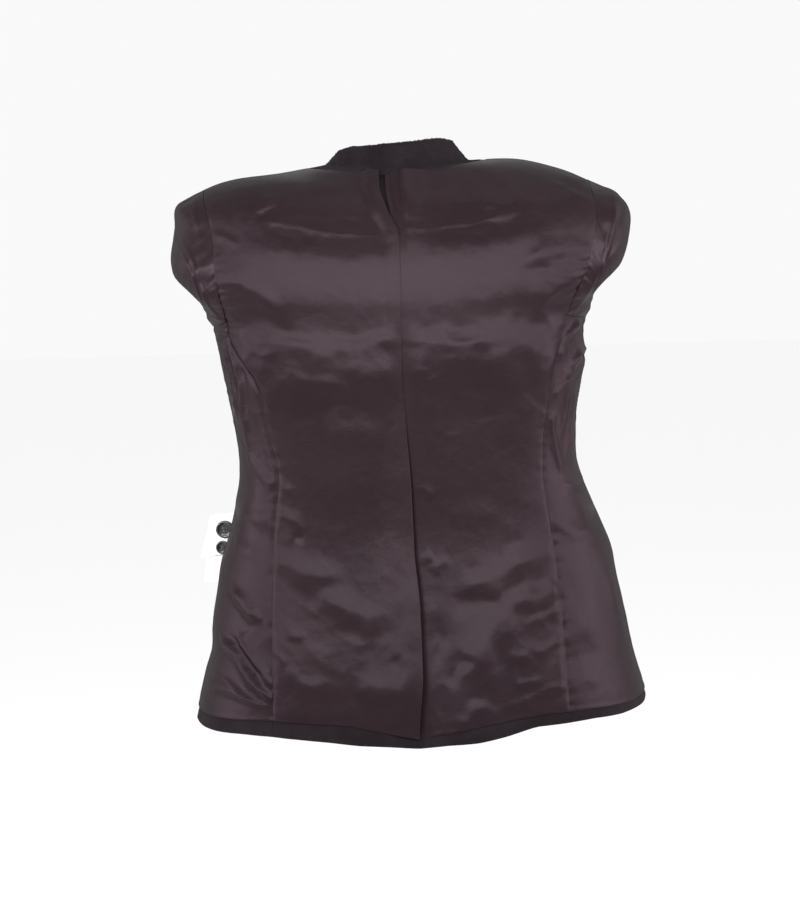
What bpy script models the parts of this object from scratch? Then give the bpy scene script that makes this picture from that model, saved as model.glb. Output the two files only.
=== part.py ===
"""A tailored wool blazer turned inside out and worn, as it stands on an upright figure.

Units are metres, +Z is up. The wearer's back faces -Y, and -X is the wearer's left. The origin is the
middle of the neck opening, at the height of the back neck seam, where the wearer's shoulders carry it.
The satin lining is outermost, the wool lies under it, and both sleeves hang inside the body.
"""

import math
from functools import lru_cache

import bpy
from mathutils import Matrix, Vector

MM = 0.001

# Cloth thicknesses and gaps
LINING_THICK = 1.0 * MM
LINING_GAP = 2.0 * MM
WOOL_THICK = 1.6 * MM
SEAM_GAP = 0.3 * MM
WOOL_TOP = LINING_THICK + LINING_GAP
WOOL_BACK = WOOL_TOP + WOOL_THICK
LINING_DEPTHS = (0.0, LINING_THICK)
WOOL_DEPTHS = (WOOL_TOP, WOOL_BACK)

# Body rings in millimetres, from hem to neck. Heights are at the centre back, both sides and centre
# front; left and right are half widths from x_mid; y_left and y_right are the depths of the side points.
RING_COLUMNS = (
    "z_back", "z_left", "z_right", "z_front", "left", "right", "y_left", "y_right",
    "y_back", "y_front", "x_mid", "round_back", "round_front",
)
RING_ROWS = {
    "hem": (-602, -602, -602, -602, 244, 251, 8, 34, -133, 106, 14, 2.3, 2.3),
    "low_hip": (-540, -540, -540, -540, 231, 237, 6, 27, -125, 106, 14, 2.35, 2.3),
    "hip": (-470, -470, -470, -470, 219, 225, 4, 20, -113, 105, 13, 2.4, 2.35),
    "high_hip": (-390, -390, -390, -390, 195, 207, 2, 12, -102, 101, 9, 2.5, 2.4),
    "waist": (-315, -315, -315, -315, 180, 183, 0, 6, -103, 96, 7, 2.6, 2.4),
    "midriff": (-235, -235, -235, -235, 188, 191, 0, 2, -109, 107, 4, 2.6, 2.4),
    "underarm": (-160, -158, -158, -165, 200, 202, 0, 0, -116, 105, 2, 2.6, 2.4),
    "cap_mouth": (-131, -128, -128, -146, 229, 227, 0, 0, -118, 104, 2, 2.55, 2.4),
    "cap_fold": (-104, -98, -98, -128, 240, 243, 0, 0, -117, 101, 2, 2.5, 2.4),
    "cap_side": (-78, -62, -62, -110, 233, 247, 0, 0, -112, 96, 2, 2.5, 2.3),
    "cap_top": (-58, -38, -38, -97, 230, 236, 0, 0, -105, 91, 2, 2.5, 2.3),
    "shoulder_tip": (-42, -20, -20, -86, 202, 204, 0, 0, -97, 85, 2, 2.5, 2.3),
    "outer_shoulder": (-27, -10, -7, -76, 171, 173, 0, 0, -86, 77, 3, 2.3, 2.2),
    "inner_shoulder": (-14, -5, 4, -65, 125, 127, 0, 0, -74, 68, 4, 2.1, 2.1),
    "neck": (0, 3, 4, -54, 75, 77, 0, 0, -61, 58, 4, 2.0, 2.0),
}
RINGS = [dict(zip(RING_COLUMNS, row)) for row in RING_ROWS.values()]
LEVEL = {name: index for index, name in enumerate(RING_ROWS)}
TOP_LEVEL = LEVEL["neck"]
HEM_Z = RINGS[0]["z_back"]
ARC_STEPS = 40

# Soft swells of the whole body wall, in millimetres: place, reach each way, and how far out.
SWELL_COLUMNS = ("x", "y", "z", "reach_x", "reach_y", "reach_z", "out")
SWELL_ROWS = (
    (60, -125, -590, 42, 90, 90, 5.0),
    (128, -115, -600, 34, 90, 90, -5.0),
    (-90, -120, -600, 50, 90, 80, -3.0),
    (-222, 5, -560, 60, 60, 26, 0.5),
    (-206, 5, -513, 60, 60, 20, -3.0),
    (-195, 5, -418, 60, 60, 24, 3.2),
    (200, 5, -212, 60, 60, 26, 5.0),
    (220, 10, -414, 60, 60, 24, 3.5),
)
SWELLS = [dict(zip(SWELL_COLUMNS, row)) for row in SWELL_ROWS]

# How far the hem's edge is drawn up against x, in millimetres, fading out at HEM_CALM
HEM_RISE = ((-206, 10), (-175, 12), (-144, 12), (-112, 10), (-81, 8), (-50, 5), (-19, 4), (12, 2),
            (44, 5), (75, 6), (106, 10), (137, 17), (168, 18), (199, 19), (230, 17))
HEM_CALM = -500

# Mouth of each cap, where its sleeve is tucked back in: heights of the lip's top and bottom in
# millimetres, its reach round the body to the back and front in places, and the fold's radius
LIP = {"top_z": -103, "bottom_z": -149, "reach_back": 0.21, "reach_front": 0.20, "round": 1.3,
       "turn": 6.0}

# Puff of the cap's cloth between armhole and lip, and its first row's shift from the seam as a share
CAP_PUFF = 3.5 * MM
SEAM_SHIFT = 0.004

# Seams as x against z, in millimetres, read down the garment
SEAM_ROWS = {
    "arm_back_left": ((-22, -200), (-61, -189), (-123, -185), (-160, -178)),
    "arm_back_right": ((-22, 206), (-57, 211), (-112, 199), (-139, 185), (-160, 177)),
    "arm_front_left": ((-22, -200), (-61, -190), (-110, -180), (-165, -176)),
    "arm_front_right": ((-22, 206), (-61, 196), (-110, 184), (-165, 178)),
    "back_left": ((-160, -178), (-183, -174), (-208, -156), (-225, -145), (-260, -140), (-318, -127),
                  (-379, -135), (-450, -139), (-602, -142)),
    "back_right": ((-160, 177), (-182, 171), (-227, 160), (-280, 151), (-332, 150),
                   (-373, 156), (-446, 165), (-547, 171), (-602, 174)),
    "pleat_fold": ((5, -2), (-18, -4), (-40, 0), (-64, 5), (-135, 5), (-223, 4), (-290, 8), (-330, 10),
                   (-405, 11), (-448, 15), (-533, 17), (-570, 13), (-602, 11)),
    "facing_left": ((0, -92), (-40, -98), (-100, -104), (-200, -104),
                    (-300, -98), (-450, -108), (-602, -124)),
    "facing_right": ((0, 94), (-40, 100), (-100, 106), (-200, 106),
                     (-300, 102), (-450, 114), (-602, 136)),
    "edge_left": ((-10, -60), (-276, -24), (-340, -26), (-450, -34), (-602, -50)),
    "edge_right": ((-10, 64), (-276, 30), (-340, 34), (-450, 46), (-602, 70)),
}
FRONT_SIDE_SEAM = ((0.0, 1.17), (3.0, 1.12), (4.5, 1.13), (5.5, 1.19))
HEM_CORNER = 42 * MM

# Dip of the underarm curve and its seam gap, in levels, and the share of a panel's width over which
# its folds die away towards a seam
UNDERARM_DIP = 0.12
UNDERARM_GAP = 0.005
SEAM_SHARE = 0.12

# Extra depth of the wool over the shoulder in millimetres, the share up to which it is full, and the
# share over which it then fades
SHOULDER_SINK = {"wool_front": (1.6, 0.55, 0.3), "wool_back": (1.6, 1.0, 0.3)}

# Rows and columns of the panels: rows as levels up the rings, columns as shares of a panel's width
BODY_LEVELS = [0.0, 0.45, 1.0, 1.5, 2.0, 2.5, 3.0, 3.5, 4.0, 4.5, 5.0, 5.5, 6.0, 6.7, 7.4, 8.2, 9.0,
               9.8, 10.5, 11.0, 11.5, 12.0, 12.5, 13.0, 13.5, 13.98]
SIDE_LEVELS = [level for level in BODY_LEVELS if level <= LEVEL["underarm"]]
FACING_TOP = BODY_LEVELS[-2]
SIDE_COLUMNS = 6
BACK_SHARES = [0.0, 0.03, 0.065, 0.11, 0.17, 0.26, 0.36, 0.46, 0.56, 0.66, 0.76, 0.85, 0.93, 1.0]

# How far the lining's lower edge stands above the hem, as height against x, in millimetres
LINING_FOOT = ((-260, 22), (-203, 20), (-150, 28), (-61, 25), (-20, 17), (12, 12), (47, 17), (83, 23),
               (150, 29), (194, 29), (238, 26), (270, 27))

# Lift of the centre back pleat's two edges against height, in millimetres
PLEAT = {"under": 12, "roll": 16, "bump_at": 15, "bump_reach": 11}
LEFT_LIFT = ((5, 4.0), (-22, 8.5), (-45, 6.0), (-64, 2.0), (-250, 2.0), (-300, 3.5), (-350, 6.0),
             (-450, 8.5), (-545, 8.5), (-580, 5.0), (-602, 4.0))
RIGHT_LIFT = ((5, 4.0), (-22, 7.5), (-45, 5.0), (-66, 0.0), (-602, 0.0))

# Largest folds of the lining, in millimetres: the ridge from (x0, z0) to (x1, z1), its reach and height
FOLD_COLUMNS = ("panel", "x0", "z0", "x1", "z1", "reach", "out")
FOLD_ROWS = (
    ("back_left", -150, -118, -70, -190, 22, 2.5),
    ("back_left", -120, -275, -40, -300, 20, 3.0),
    ("back_left", -110, -415, -60, -560, 18, 4.0),
    ("back_left", -40, -440, -25, -560, 16, 4.0),
    ("back_right", 150, -118, 80, -190, 22, 2.5),
    ("back_right", 60, -255, 140, -235, 18, 2.5),
    ("back_right", 60, -520, 140, -430, 18, 5.0),
    ("back_right", 50, -580, 110, -500, 15, 4.5),
    ("back_right", 120, -560, 165, -500, 14, 3.5),
    ("side_left", -210, -505, -150, -565, 14, 6.0),
    ("side_left", -185, -170, -172, -300, 12, 4.5),
    ("side_left", -165, -330, -160, -420, 12, 3.0),
    ("side_right", 196, -170, 178, -290, 12, 5.0),
    ("side_right", 180, -200, 168, -300, 9, 3.0),
    ("side_right", 225, -430, 235, -560, 18, 4.0),
    ("front_left", -165, -180, -130, -300, 15, 3.0),
    ("front_left", -170, -380, -140, -560, 18, 4.0),
    ("front_right", 170, -180, 135, -300, 15, 3.0),
    ("front_right", 180, -380, 150, -560, 18, 4.0),
)
FOLDS = [dict(zip(FOLD_COLUMNS, row)) for row in FOLD_ROWS]

# Collar against the place round the neck: stand height, inward lean and length of the fall, millimetres
COLLAR_COLUMNS = ("place", "stand", "lean", "fall")
COLLAR_ROWS = (
    (-1.27, 7, 3, 17),
    (-1.0, 13, 14, 28),
    (-0.6, 20, 9, 42),
    (0.0, 25, 4, 46),
    (0.5, 27, 5, 46),
    (1.0, 20, 13, 30),
    (1.27, 7, 3, 17),
)
COLLAR = {"thick": 2.2 * MM, "clear": 0.6 * MM, "sink": 0.8 * MM, "fold": 3.2 * MM, "columns": 28}

# Lapel leaves, turned in along the roll line: depth under the front and width against level
LAPEL = {"clear": 2.4 * MM, "thick": 2.2 * MM, "break_z": -276, "top_level": 12.2}
LAPEL_WIDTH = ((-276, 7), (-220, 32), (-150, 56), (-90, 74), (-70, 66), (-40, 52))

# Sleeves inside the body, in millimetres: height, half thickness, half width and clearance. They
# follow the side wall down to the waist and hang straight below it.
SLEEVE_COLUMNS = ("z", "half_thick", "half_width", "clear")
SLEEVE_ROWS = (
    (-215, 19, 52, 4),
    (-265, 14, 60, 4),
    (-325, 12, 61, 4),
    (-395, 12, 60, 5),
    (-470, 12, 57, 6),
    (-545, 11, 53, 7),
)
# Sleeve rings that turn over the underarm, in millimetres: height of the bottom, place of the top, half
# width, and how far the sides of the ring sag towards the body
TURN_COLUMNS = ("low_z", "top_x", "top_z", "half_depth", "saddle")
TURN_ROWS = (
    (-165, 221, -84, 50, 13),
    (-172, 202, -74, 50, 9),
    (-179, 178, -79, 49, 5),
    (-186, 158, -104, 49, 2),
    (-193, 147, -142, 50, 0),
)
TURN_CLEAR = 12.5
TURN_MIDDLE_Y = -3.0

# Rows of cloth over the cap and round its lip, and rows that the lining goes on inside
CAP_STEPS = 4
LIP_STEPS = 3
SLEEVE_LINING_INSIDE = 3

# Care label and buttons, in millimetres. Each leaf stands out of the left side seam.
LABEL_THICK = 0.6
LABEL_CLEAR = 0.6
LABEL_CURL = 2.0
LEAF_COLUMNS = ("name", "z", "back", "reach", "height", "tilt")
LEAF_ROWS = (
    ("care_label", -395, 0.0, 31, 46, 8),
    ("care_label_under", -413, 2.0, 24, 72, 4),
)
BUTTON_COLUMNS = ("name", "x", "z", "radius", "thick")
SPARE_ROWS = (
    ("spare_button_large", -194, -391, 9.8, 3.2),
    ("spare_button_small", -197, -411, 7.5, 2.8),
)
FRONT_BUTTON = {"radius": 10.0, "thick": 3.6, "from_edge": 20, "clear": 0.5, "place": 1.7}
FRONT_BUTTON_HEIGHTS = {"front_button_top": -290, "front_button_low": -385}
BUTTON_AROUND = 20

# Section of a button from its back to the dish in its face, as shares of its radius and thickness
BUTTON_PROFILE = ((0.86, 0.0), (1.0, 0.35), (1.0, 0.7), (0.9, 1.0), (0.72, 1.0), (0.6, 0.72))

LINING_COLOUR = (0.045, 0.030, 0.034)
WOOL_COLOUR = (0.016, 0.014, 0.017)
LABEL_COLOUR = (0.80, 0.77, 0.76)
BUTTON_COLOUR = (0.012, 0.011, 0.013)


def clear_scene():
    for obj in list(bpy.data.objects):
        bpy.data.objects.remove(obj)


def make_material(name, colour, roughness):
    material = bpy.data.materials.new(name)
    material.use_nodes = True
    shader = material.node_tree.nodes["Principled BSDF"]
    shader.inputs["Base Color"].default_value = (*colour, 1.0)
    shader.inputs["Roughness"].default_value = roughness
    shader.inputs["Metallic"].default_value = 0.0
    return material


def smooth(value):
    value = min(1.0, max(0.0, value))
    return value * value * (3.0 - 2.0 * value)


def table_at(rows, key):
    """Value of a two column table at key, straight between its rows, whichever way the keys run."""
    ordered = sorted(rows)
    if key <= ordered[0][0]:
        return ordered[0][1]
    for (k0, v0), (k1, v1) in zip(ordered, ordered[1:]):
        if key <= k1:
            return v0 + (v1 - v0) * (key - k0) / (k1 - k0)
    return ordered[-1][1]


def row_at(rows, columns, key):
    """A dictionary of every column of a table at its first column's key."""
    found = {columns[0]: key}
    for index, column in enumerate(columns[1:], start=1):
        found[column] = table_at([(row[0], row[index]) for row in rows], key)
    return found


def catmull(p0, p1, p2, p3, share):
    """Smooth curve value between p1 and p2."""
    a = 2.0 * p1
    b = p2 - p0
    c = 2.0 * p0 - 5.0 * p1 + 4.0 * p2 - p3
    d = 3.0 * p1 - p0 - 3.0 * p2 + p3
    return 0.5 * (a + b * share + c * share * share + d * share ** 3)


def ring_sizes(level):
    """The ring table at a level between its rows, curved smoothly through them."""
    low = min(int(level), TOP_LEVEL - 1)
    share = level - low
    picks = [RINGS[min(max(low + step, 0), TOP_LEVEL)] for step in (-1, 0, 1, 2)]
    return {name: catmull(*(pick[name] for pick in picks), share) for name in RING_COLUMNS}


def radius_at(turn, half_width, depth, power):
    """Distance from the middle of a rounded quarter to its edge, turn measured from the centre line."""
    across = abs(math.sin(turn)) / half_width
    along = abs(math.cos(turn)) / depth
    return (across ** power + along ** power) ** (-1.0 / power)


@lru_cache(maxsize=None)
def ring_quarters(level):
    """Sizes of the ring and, for its four quarters, turn against share of the quarter's length."""
    sizes = ring_sizes(level)
    quarters = {}
    for side in (-1, 1):
        half_width = sizes["left"] if side < 0 else sizes["right"]
        y_side = sizes["y_left"] if side < 0 else sizes["y_right"]
        for end, y_end, power in (
            ("back", sizes["y_back"], sizes["round_back"]),
            ("front", sizes["y_front"], sizes["round_front"]),
        ):
            depth = abs(y_end - y_side)
            turns = [0.5 * math.pi * step / ARC_STEPS for step in range(ARC_STEPS + 1)]
            radii = [radius_at(turn, half_width, depth, power) for turn in turns]
            points = [(r * math.sin(turn), r * math.cos(turn)) for r, turn in zip(radii, turns)]
            lengths = [0.0]
            for first, second in zip(points, points[1:]):
                lengths.append(lengths[-1] + math.dist(first, second))
            quarters[side, end] = (half_width, depth, power, y_side, turns, lengths)
    return sizes, quarters


def body_point(place, level):
    """A point of the outer lining face. Place is 0 at centre back, 1 at the side and 2 at centre front,
    negative on the wearer's left; level counts the rings up from the hem."""
    if abs(place) > 2.0:
        place = place - math.copysign(4.0, place)
    sizes, quarters = ring_quarters(round(min(max(level, 0.0), TOP_LEVEL), 5))
    side = -1 if place < 0 else 1
    distance = abs(place)
    end = "back" if distance <= 1.0 else "front"
    share = distance if end == "back" else 2.0 - distance
    half_width, depth, power, y_side, turns, lengths = quarters[side, end]
    wanted = share * lengths[-1]
    index = 1
    while index < ARC_STEPS and lengths[index] < wanted:
        index += 1
    between = (wanted - lengths[index - 1]) / (lengths[index] - lengths[index - 1])
    turn = turns[index - 1] + (turns[index] - turns[index - 1]) * between
    radius = radius_at(turn, half_width, depth, power)
    rise = math.sin(0.5 * math.pi * share) ** 2
    z_end = sizes["z_back"] if end == "back" else sizes["z_front"]
    z_side = sizes["z_left"] if side < 0 else sizes["z_right"]
    z = z_end + (z_side - z_end) * rise
    facing = -1 if end == "back" else 1
    x = sizes["x_mid"] + side * radius * math.sin(turn)
    y = y_side + facing * radius * math.cos(turn)
    for swell in SWELLS:
        across = (x - swell["x"]) / swell["reach_x"]
        deep = (y - swell["y"]) / swell["reach_y"]
        along = (z - swell["z"]) / swell["reach_z"]
        radius += swell["out"] * math.exp(-across * across - deep * deep - along * along)
    x = sizes["x_mid"] + side * radius * math.sin(turn)
    y = y_side + facing * radius * math.cos(turn)
    if z < HEM_CALM:
        z += table_at(HEM_RISE, x) * smooth((HEM_CALM - z) / (HEM_CALM - HEM_Z))
    return Vector((x, y, z)) * MM


def body_normal(place, level):
    """Outward direction of the body at a place and level."""
    step = 0.02
    low, high = max(level - step, 0.0), min(level + step, TOP_LEVEL)
    across = body_point(place + step, level) - body_point(place - step, level)
    along = body_point(place, high) - body_point(place, low)
    return across.cross(along).normalized()


def quarter_length(place, level):
    _, quarters = ring_quarters(round(level, 5))
    side = -1 if place < 0 else 1
    end = "back" if abs(place) <= 1.0 else "front"
    return quarters[side, end][5][-1] * MM


def solve(function, low, high):
    """Where function changes sign between low and high, by halving."""
    rising = function(high) > function(low)
    for _ in range(30):
        middle = 0.5 * (low + high)
        if (function(middle) > 0) == rising:
            high = middle
        else:
            low = middle
    return 0.5 * (low + high)


@lru_cache(maxsize=None)
def place_of_seam(name, level, low, high):
    """Place where the body crosses a seam's x at this level."""
    def beyond(place):
        point = body_point(place, level)
        return point.x - table_at(SEAM_ROWS[name], point.z / MM) * MM
    return solve(beyond, low, high)


def level_of_height(place, height):
    return solve(lambda level: body_point(place, level).z - height * MM, 0.0, TOP_LEVEL)


SIDE_NAMES = {-1: "left", 1: "right"}


class Half:
    """Seams of one half of the body, as the place of each at a level."""

    def __init__(self, side):
        self.side = side
        self.name = SIDE_NAMES[side]

    def back_edge(self, level):
        """Outer edge of the back: its seam, then the armhole, then the shoulder."""
        if level >= LEVEL["shoulder_tip"]:
            return self.side * 1.0
        seam = "arm_back_" if level > LEVEL["underarm"] else "back_"
        return place_of_seam(seam + self.name, level, self.side * 0.3, self.side * 0.9999)

    def front_outer(self, level):
        """Outer edge of the front: its seam, then the armhole, then the shoulder."""
        if level >= LEVEL["shoulder_tip"]:
            return self.side * 1.0
        low = max(level, LEVEL["underarm"])
        armhole = place_of_seam("arm_front_" + self.name, low, self.side * 1.0001, self.side * 1.7)
        seam = self.side * table_at(FRONT_SIDE_SEAM, level)
        return seam + (armhole - seam) * smooth(level + 1.0 - LEVEL["underarm"])

    def front_edge(self, level):
        """Free front edge, with its round lower corner, then the roll line up to the neck."""
        place = place_of_seam("edge_" + self.name, level, self.side * 1.1, self.side * 2.0)
        rise = body_point(place, level).z - body_point(place, 0.0).z
        if rise < HEM_CORNER:
            inset = HEM_CORNER - math.sqrt(max(0.0, HEM_CORNER ** 2 - (HEM_CORNER - rise) ** 2))
            place -= self.side * inset / quarter_length(place, level)
        return place

    def facing_seam(self, level):
        return place_of_seam("facing_" + self.name, level, self.side * 1.001, self.side * 1.95)

    def armhole(self):
        """Place and level of points round the armhole, from the shoulder tip down the back."""
        levels = [level for level in reversed(BODY_LEVELS)
                  if LEVEL["underarm"] < level < LEVEL["shoulder_tip"]]
        loop = [(self.side * 1.0, float(LEVEL["shoulder_tip"]))]
        loop += [(self.back_edge(level), level) for level in levels]
        bottom = LEVEL["underarm"]
        back, front = self.back_edge(bottom), self.front_outer(bottom)
        for share in even(SIDE_COLUMNS):
            dip = UNDERARM_DIP * math.sin(math.pi * share)
            loop.append((back + (front - back) * share, bottom - dip))
        loop += [(self.front_outer(level), level) for level in reversed(levels)]
        return loop


def fold_out(panel, x, z):
    """How far the lining of a panel stands out at x, z, in metres."""
    out = 0.0
    for fold in FOLDS:
        if fold["panel"] != panel:
            continue
        dx, dz = fold["x1"] - fold["x0"], fold["z1"] - fold["z0"]
        length = math.hypot(dx, dz)
        along = ((x - fold["x0"]) * dx + (z - fold["z0"]) * dz) / (length * length)
        away = ((x - fold["x0"]) * dz - (z - fold["z0"]) * dx) / (length * fold["reach"])
        past = max(0.0, -along, along - 1.0) * length / fold["reach"]
        out += fold["out"] * math.exp(-away * away - past * past) * (0.7 + 0.3 * smooth(along))
    return out * MM


def pleat_out(panel, x, z):
    """Lift of the centre pleat: the left edge rolls over, the right one swells beside it."""
    fold_x = table_at(SEAM_ROWS["pleat_fold"], z)
    if panel == "back_left":
        rise = smooth((x - fold_x + PLEAT["under"] + PLEAT["roll"]) / PLEAT["roll"])
        return table_at(LEFT_LIFT, z) * rise * MM
    if panel == "back_right":
        away = (x - fold_x - PLEAT["bump_at"]) / PLEAT["bump_reach"]
        return table_at(RIGHT_LIFT, z) * math.exp(-away * away) * MM
    return 0.0


def shoulder_sink(panel, level, share):
    """Extra depth of the wool over the shoulder, clear of the flat facets of the lining."""
    if panel not in SHOULDER_SINK:
        return 0.0
    sink, full, reach = SHOULDER_SINK[panel]
    rise = smooth(level - LEVEL["cap_side"]) * smooth(2.5 * (TOP_LEVEL - level))
    return sink * MM * rise * smooth((full + reach - share) / reach)


def add_object(name, points, faces, material):
    mesh = bpy.data.meshes.new(name)
    mesh.from_pydata(points, [], faces)
    mesh.materials.append(material)
    mesh.validate()
    mesh.shade_smooth()
    mesh.set_sharp_from_angle(angle=math.radians(50))
    obj = bpy.data.objects.new(name, mesh)
    bpy.context.scene.collection.objects.link(obj)
    return obj


def wall(name, outer, inner, material, closed=False, flip=False):
    """A cloth wall between two grids of points, rows by columns, with its edges closed.
    A closed wall is a tube, whose columns run all the way round."""
    rows, columns = len(outer), len(outer[0])
    count = rows * columns
    points = [p for row in outer for p in row] + [p for row in inner for p in row]
    spans = columns if closed else columns - 1
    faces = []
    for row in range(rows - 1):
        for column in range(spans):
            after = (column + 1) % columns
            a, b = row * columns + column, row * columns + after
            c, d = b + columns, a + columns
            faces.append((a, b, c, d))
            faces.append((a + count, d + count, c + count, b + count))
    for column in range(spans):
        after = (column + 1) % columns
        top = (rows - 1) * columns
        faces.append((column, column + count, after + count, after))
        faces.append((top + after, top + after + count, top + column + count, top + column))
    if not closed:
        for row in range(rows - 1):
            a, d = row * columns, (row + 1) * columns
            b, c = a + columns - 1, d + columns - 1
            faces.append((d, d + count, a + count, a))
            faces.append((b, b + count, c + count, c))
    if flip:
        faces = [tuple(reversed(face)) for face in faces]
    return add_object(name, points, faces, material)


def panel_grids(levels, edges, shares, panel, depths, foot, dip):
    """Points of a body panel at each depth under the outer face. Edges gives its two places at a level,
    shares where the columns lie between them. A named panel is folded as its tables say, a foot lifts
    the first row to the lining's lower edge, and a dip lowers the last one under the arm."""
    grids = [[] for _ in depths]
    for index, level in enumerate(levels):
        for grid in grids:
            grid.append([])
        ends = edges(level)
        for share in shares:
            here, (first, last) = level, ends
            if foot and index == 0:
                x = body_point(first + (last - first) * share, here).x / MM
                here = level_of_height(first, HEM_Z + table_at(LINING_FOOT, x))
                first, last = edges(here)
            if dip and index == len(levels) - 1:
                here -= dip * math.sin(math.pi * share) + UNDERARM_GAP
            inset = 0.5 * SEAM_GAP / quarter_length(0.5 * (first + last), here)
            inset = math.copysign(inset, last - first)
            place = first + inset + (last - first - 2.0 * inset) * share
            point = body_point(place, here)
            normal = body_normal(place, here)
            x, z = point.x / MM, point.z / MM
            near_seam = smooth(min(share, 1.0 - share) / SEAM_SHARE)
            out = fold_out(panel, x, z) * near_seam + pleat_out(panel, x, z)
            out -= shoulder_sink(panel, here, share) * near_seam
            for grid, depth in zip(grids, depths):
                grid[-1].append(point + normal * (out - depth))
    return grids


def body_panel(name, levels, edges, shares, depths, material, panel="", foot=False, dip=0.0):
    outer, inner = panel_grids(levels, edges, shares, panel, depths, foot, dip)
    first, last = edges(levels[len(levels) // 2])
    return wall(name, outer, inner, material, flip=last < first)


def even(count, low=0.0, high=1.0):
    return [low + (high - low) * step / count for step in range(count + 1)]


def make_backs(halves, lining, wool):
    """Back panels. The left lining rolls over the right one along the centre pleat."""
    for half in halves:
        def wool_edges(level, half=half):
            return 0.0, half.back_edge(level)

        def lining_edges(level, half=half):
            start = place_of_seam("pleat_fold", level, -0.4, 0.4)
            if half.side > 0:
                start -= PLEAT["under"] * MM / quarter_length(start, level)
            return start, half.back_edge(level)
        body_panel("wool_back_" + half.name, BODY_LEVELS, wool_edges, even(7), WOOL_DEPTHS, wool,
                   "wool_back")
        body_panel("lining_back_" + half.name, BODY_LEVELS[1:], lining_edges, BACK_SHARES, LINING_DEPTHS,
                   lining, "back_" + half.name, foot=True)


def make_sides(halves, lining, wool):
    for half in halves:
        def edges(level, half=half):
            return half.back_edge(level), half.front_outer(level)
        shares = even(SIDE_COLUMNS)
        body_panel("wool_side_" + half.name, SIDE_LEVELS, edges, shares, WOOL_DEPTHS, wool,
                   dip=UNDERARM_DIP)
        body_panel("lining_side_" + half.name, SIDE_LEVELS[1:], edges, shares, LINING_DEPTHS, lining,
                   "side_" + half.name, foot=True, dip=UNDERARM_DIP)


def make_fronts(halves, lining, wool):
    """Fronts, their lining and the wool facing along the free edge, which shows outermost."""
    for half in halves:
        def wool_edges(level, half=half):
            return half.front_outer(level), half.front_edge(level)

        def facing_edges(level, half=half):
            first = half.front_outer(level)
            seam = half.facing_seam(level)
            return (seam if abs(seam) > abs(first) else first), half.front_edge(level)

        def lining_edges(level, half=half):
            return half.front_outer(level), half.facing_seam(level)
        body_panel("wool_front_" + half.name, BODY_LEVELS, wool_edges, even(7), WOOL_DEPTHS, wool,
                   "wool_front")
        body_panel("facing_" + half.name, BODY_LEVELS, facing_edges, even(6), LINING_DEPTHS, wool)
        levels = [level for level in BODY_LEVELS[1:] if level <= FACING_TOP]
        body_panel("lining_front_" + half.name, levels, lining_edges, even(8), LINING_DEPTHS, lining,
                   "front_" + half.name, foot=True)


def lapel_levels(half):
    def above_break(level):
        return body_point(half.front_edge(level), level).z - LAPEL["break_z"] * MM
    return even(9, solve(above_break, 3.5, 6.0), LAPEL["top_level"])


def make_lapels(halves, wool):
    """Leaves of the lapels, turned in along the roll line and lying under the fronts."""
    for half in halves:
        def edges(level, half=half):
            roll = half.front_edge(level)
            width = table_at(LAPEL_WIDTH, body_point(roll, level).z / MM) * MM
            return roll - half.side * width / quarter_length(roll, level), roll
        top = WOOL_BACK + LAPEL["clear"]
        depths = (top, top + LAPEL["thick"])
        body_panel("lapel_" + half.name, lapel_levels(half), edges, even(4), depths, wool)


def collar_profile(place):
    """Outer and inner points of the collar across its width: stand, fold, and fall turned inside."""
    sizes = row_at(COLLAR_ROWS, COLLAR_COLUMNS, place)
    base = body_point(place, TOP_LEVEL)
    inward = -Vector((base.x - RINGS[-1]["x_mid"] * MM, base.y, 0.0)).normalized()
    up = (Vector((0.0, 0.0, sizes["stand"] * MM)) + inward * sizes["lean"] * MM).normalized()
    out = -(inward - up * inward.dot(up)).normalized()
    foot = base + inward * COLLAR["clear"] - Vector((0.0, 0.0, COLLAR["sink"]))
    height = math.hypot(sizes["stand"], sizes["lean"]) * MM
    turn = COLLAR["fold"]
    hinge = foot + up * (height - turn) - out * turn
    outer = [foot, foot + up * (height - turn) * 0.5, foot + up * (height - turn)]
    inner = [point - out * COLLAR["thick"] for point in outer]
    for angle in (60, 120):
        way = out * math.cos(math.radians(angle)) + up * math.sin(math.radians(angle))
        outer.append(hinge + way * turn)
        inner.append(hinge + way * (turn - COLLAR["thick"]))
    fall = sizes["fall"] * MM
    for share in (0.0, 0.5, 1.0):
        point = hinge - out * turn - up * fall * share
        outer.append(point)
        inner.append(point + out * COLLAR["thick"])
    return outer, inner


def make_collar(wool):
    places = even(COLLAR["columns"], COLLAR_ROWS[0][0], COLLAR_ROWS[-1][0])
    profiles = [collar_profile(place) for place in places]
    outer = [list(row) for row in zip(*(profile[0] for profile in profiles))]
    inner = [list(row) for row in zip(*(profile[1] for profile in profiles))]
    wall("collar", outer, inner, wool)


def lip_loop(half, loop):
    """Angle, place and level of the lip's points, one for each point round the armhole."""
    points = [body_point(place, level) for place, level in loop]
    lengths = [0.0]
    for first, second in zip(points, points[1:] + points[:1]):
        lengths.append(lengths[-1] + (second - first).length)
    found = []
    for length in lengths[:-1]:
        angle = 2.0 * math.pi * length / lengths[-1]
        reach = LIP["reach_back"] if angle < math.pi else LIP["reach_front"]
        place = half.side * (1.0 - reach * math.sin(angle))
        drop = math.sin(0.5 * angle) ** LIP["round"]
        height = LIP["top_z"] + (LIP["bottom_z"] - LIP["top_z"]) * drop
        found.append((angle, place, level_of_height(place, height)))
    return found


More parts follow.
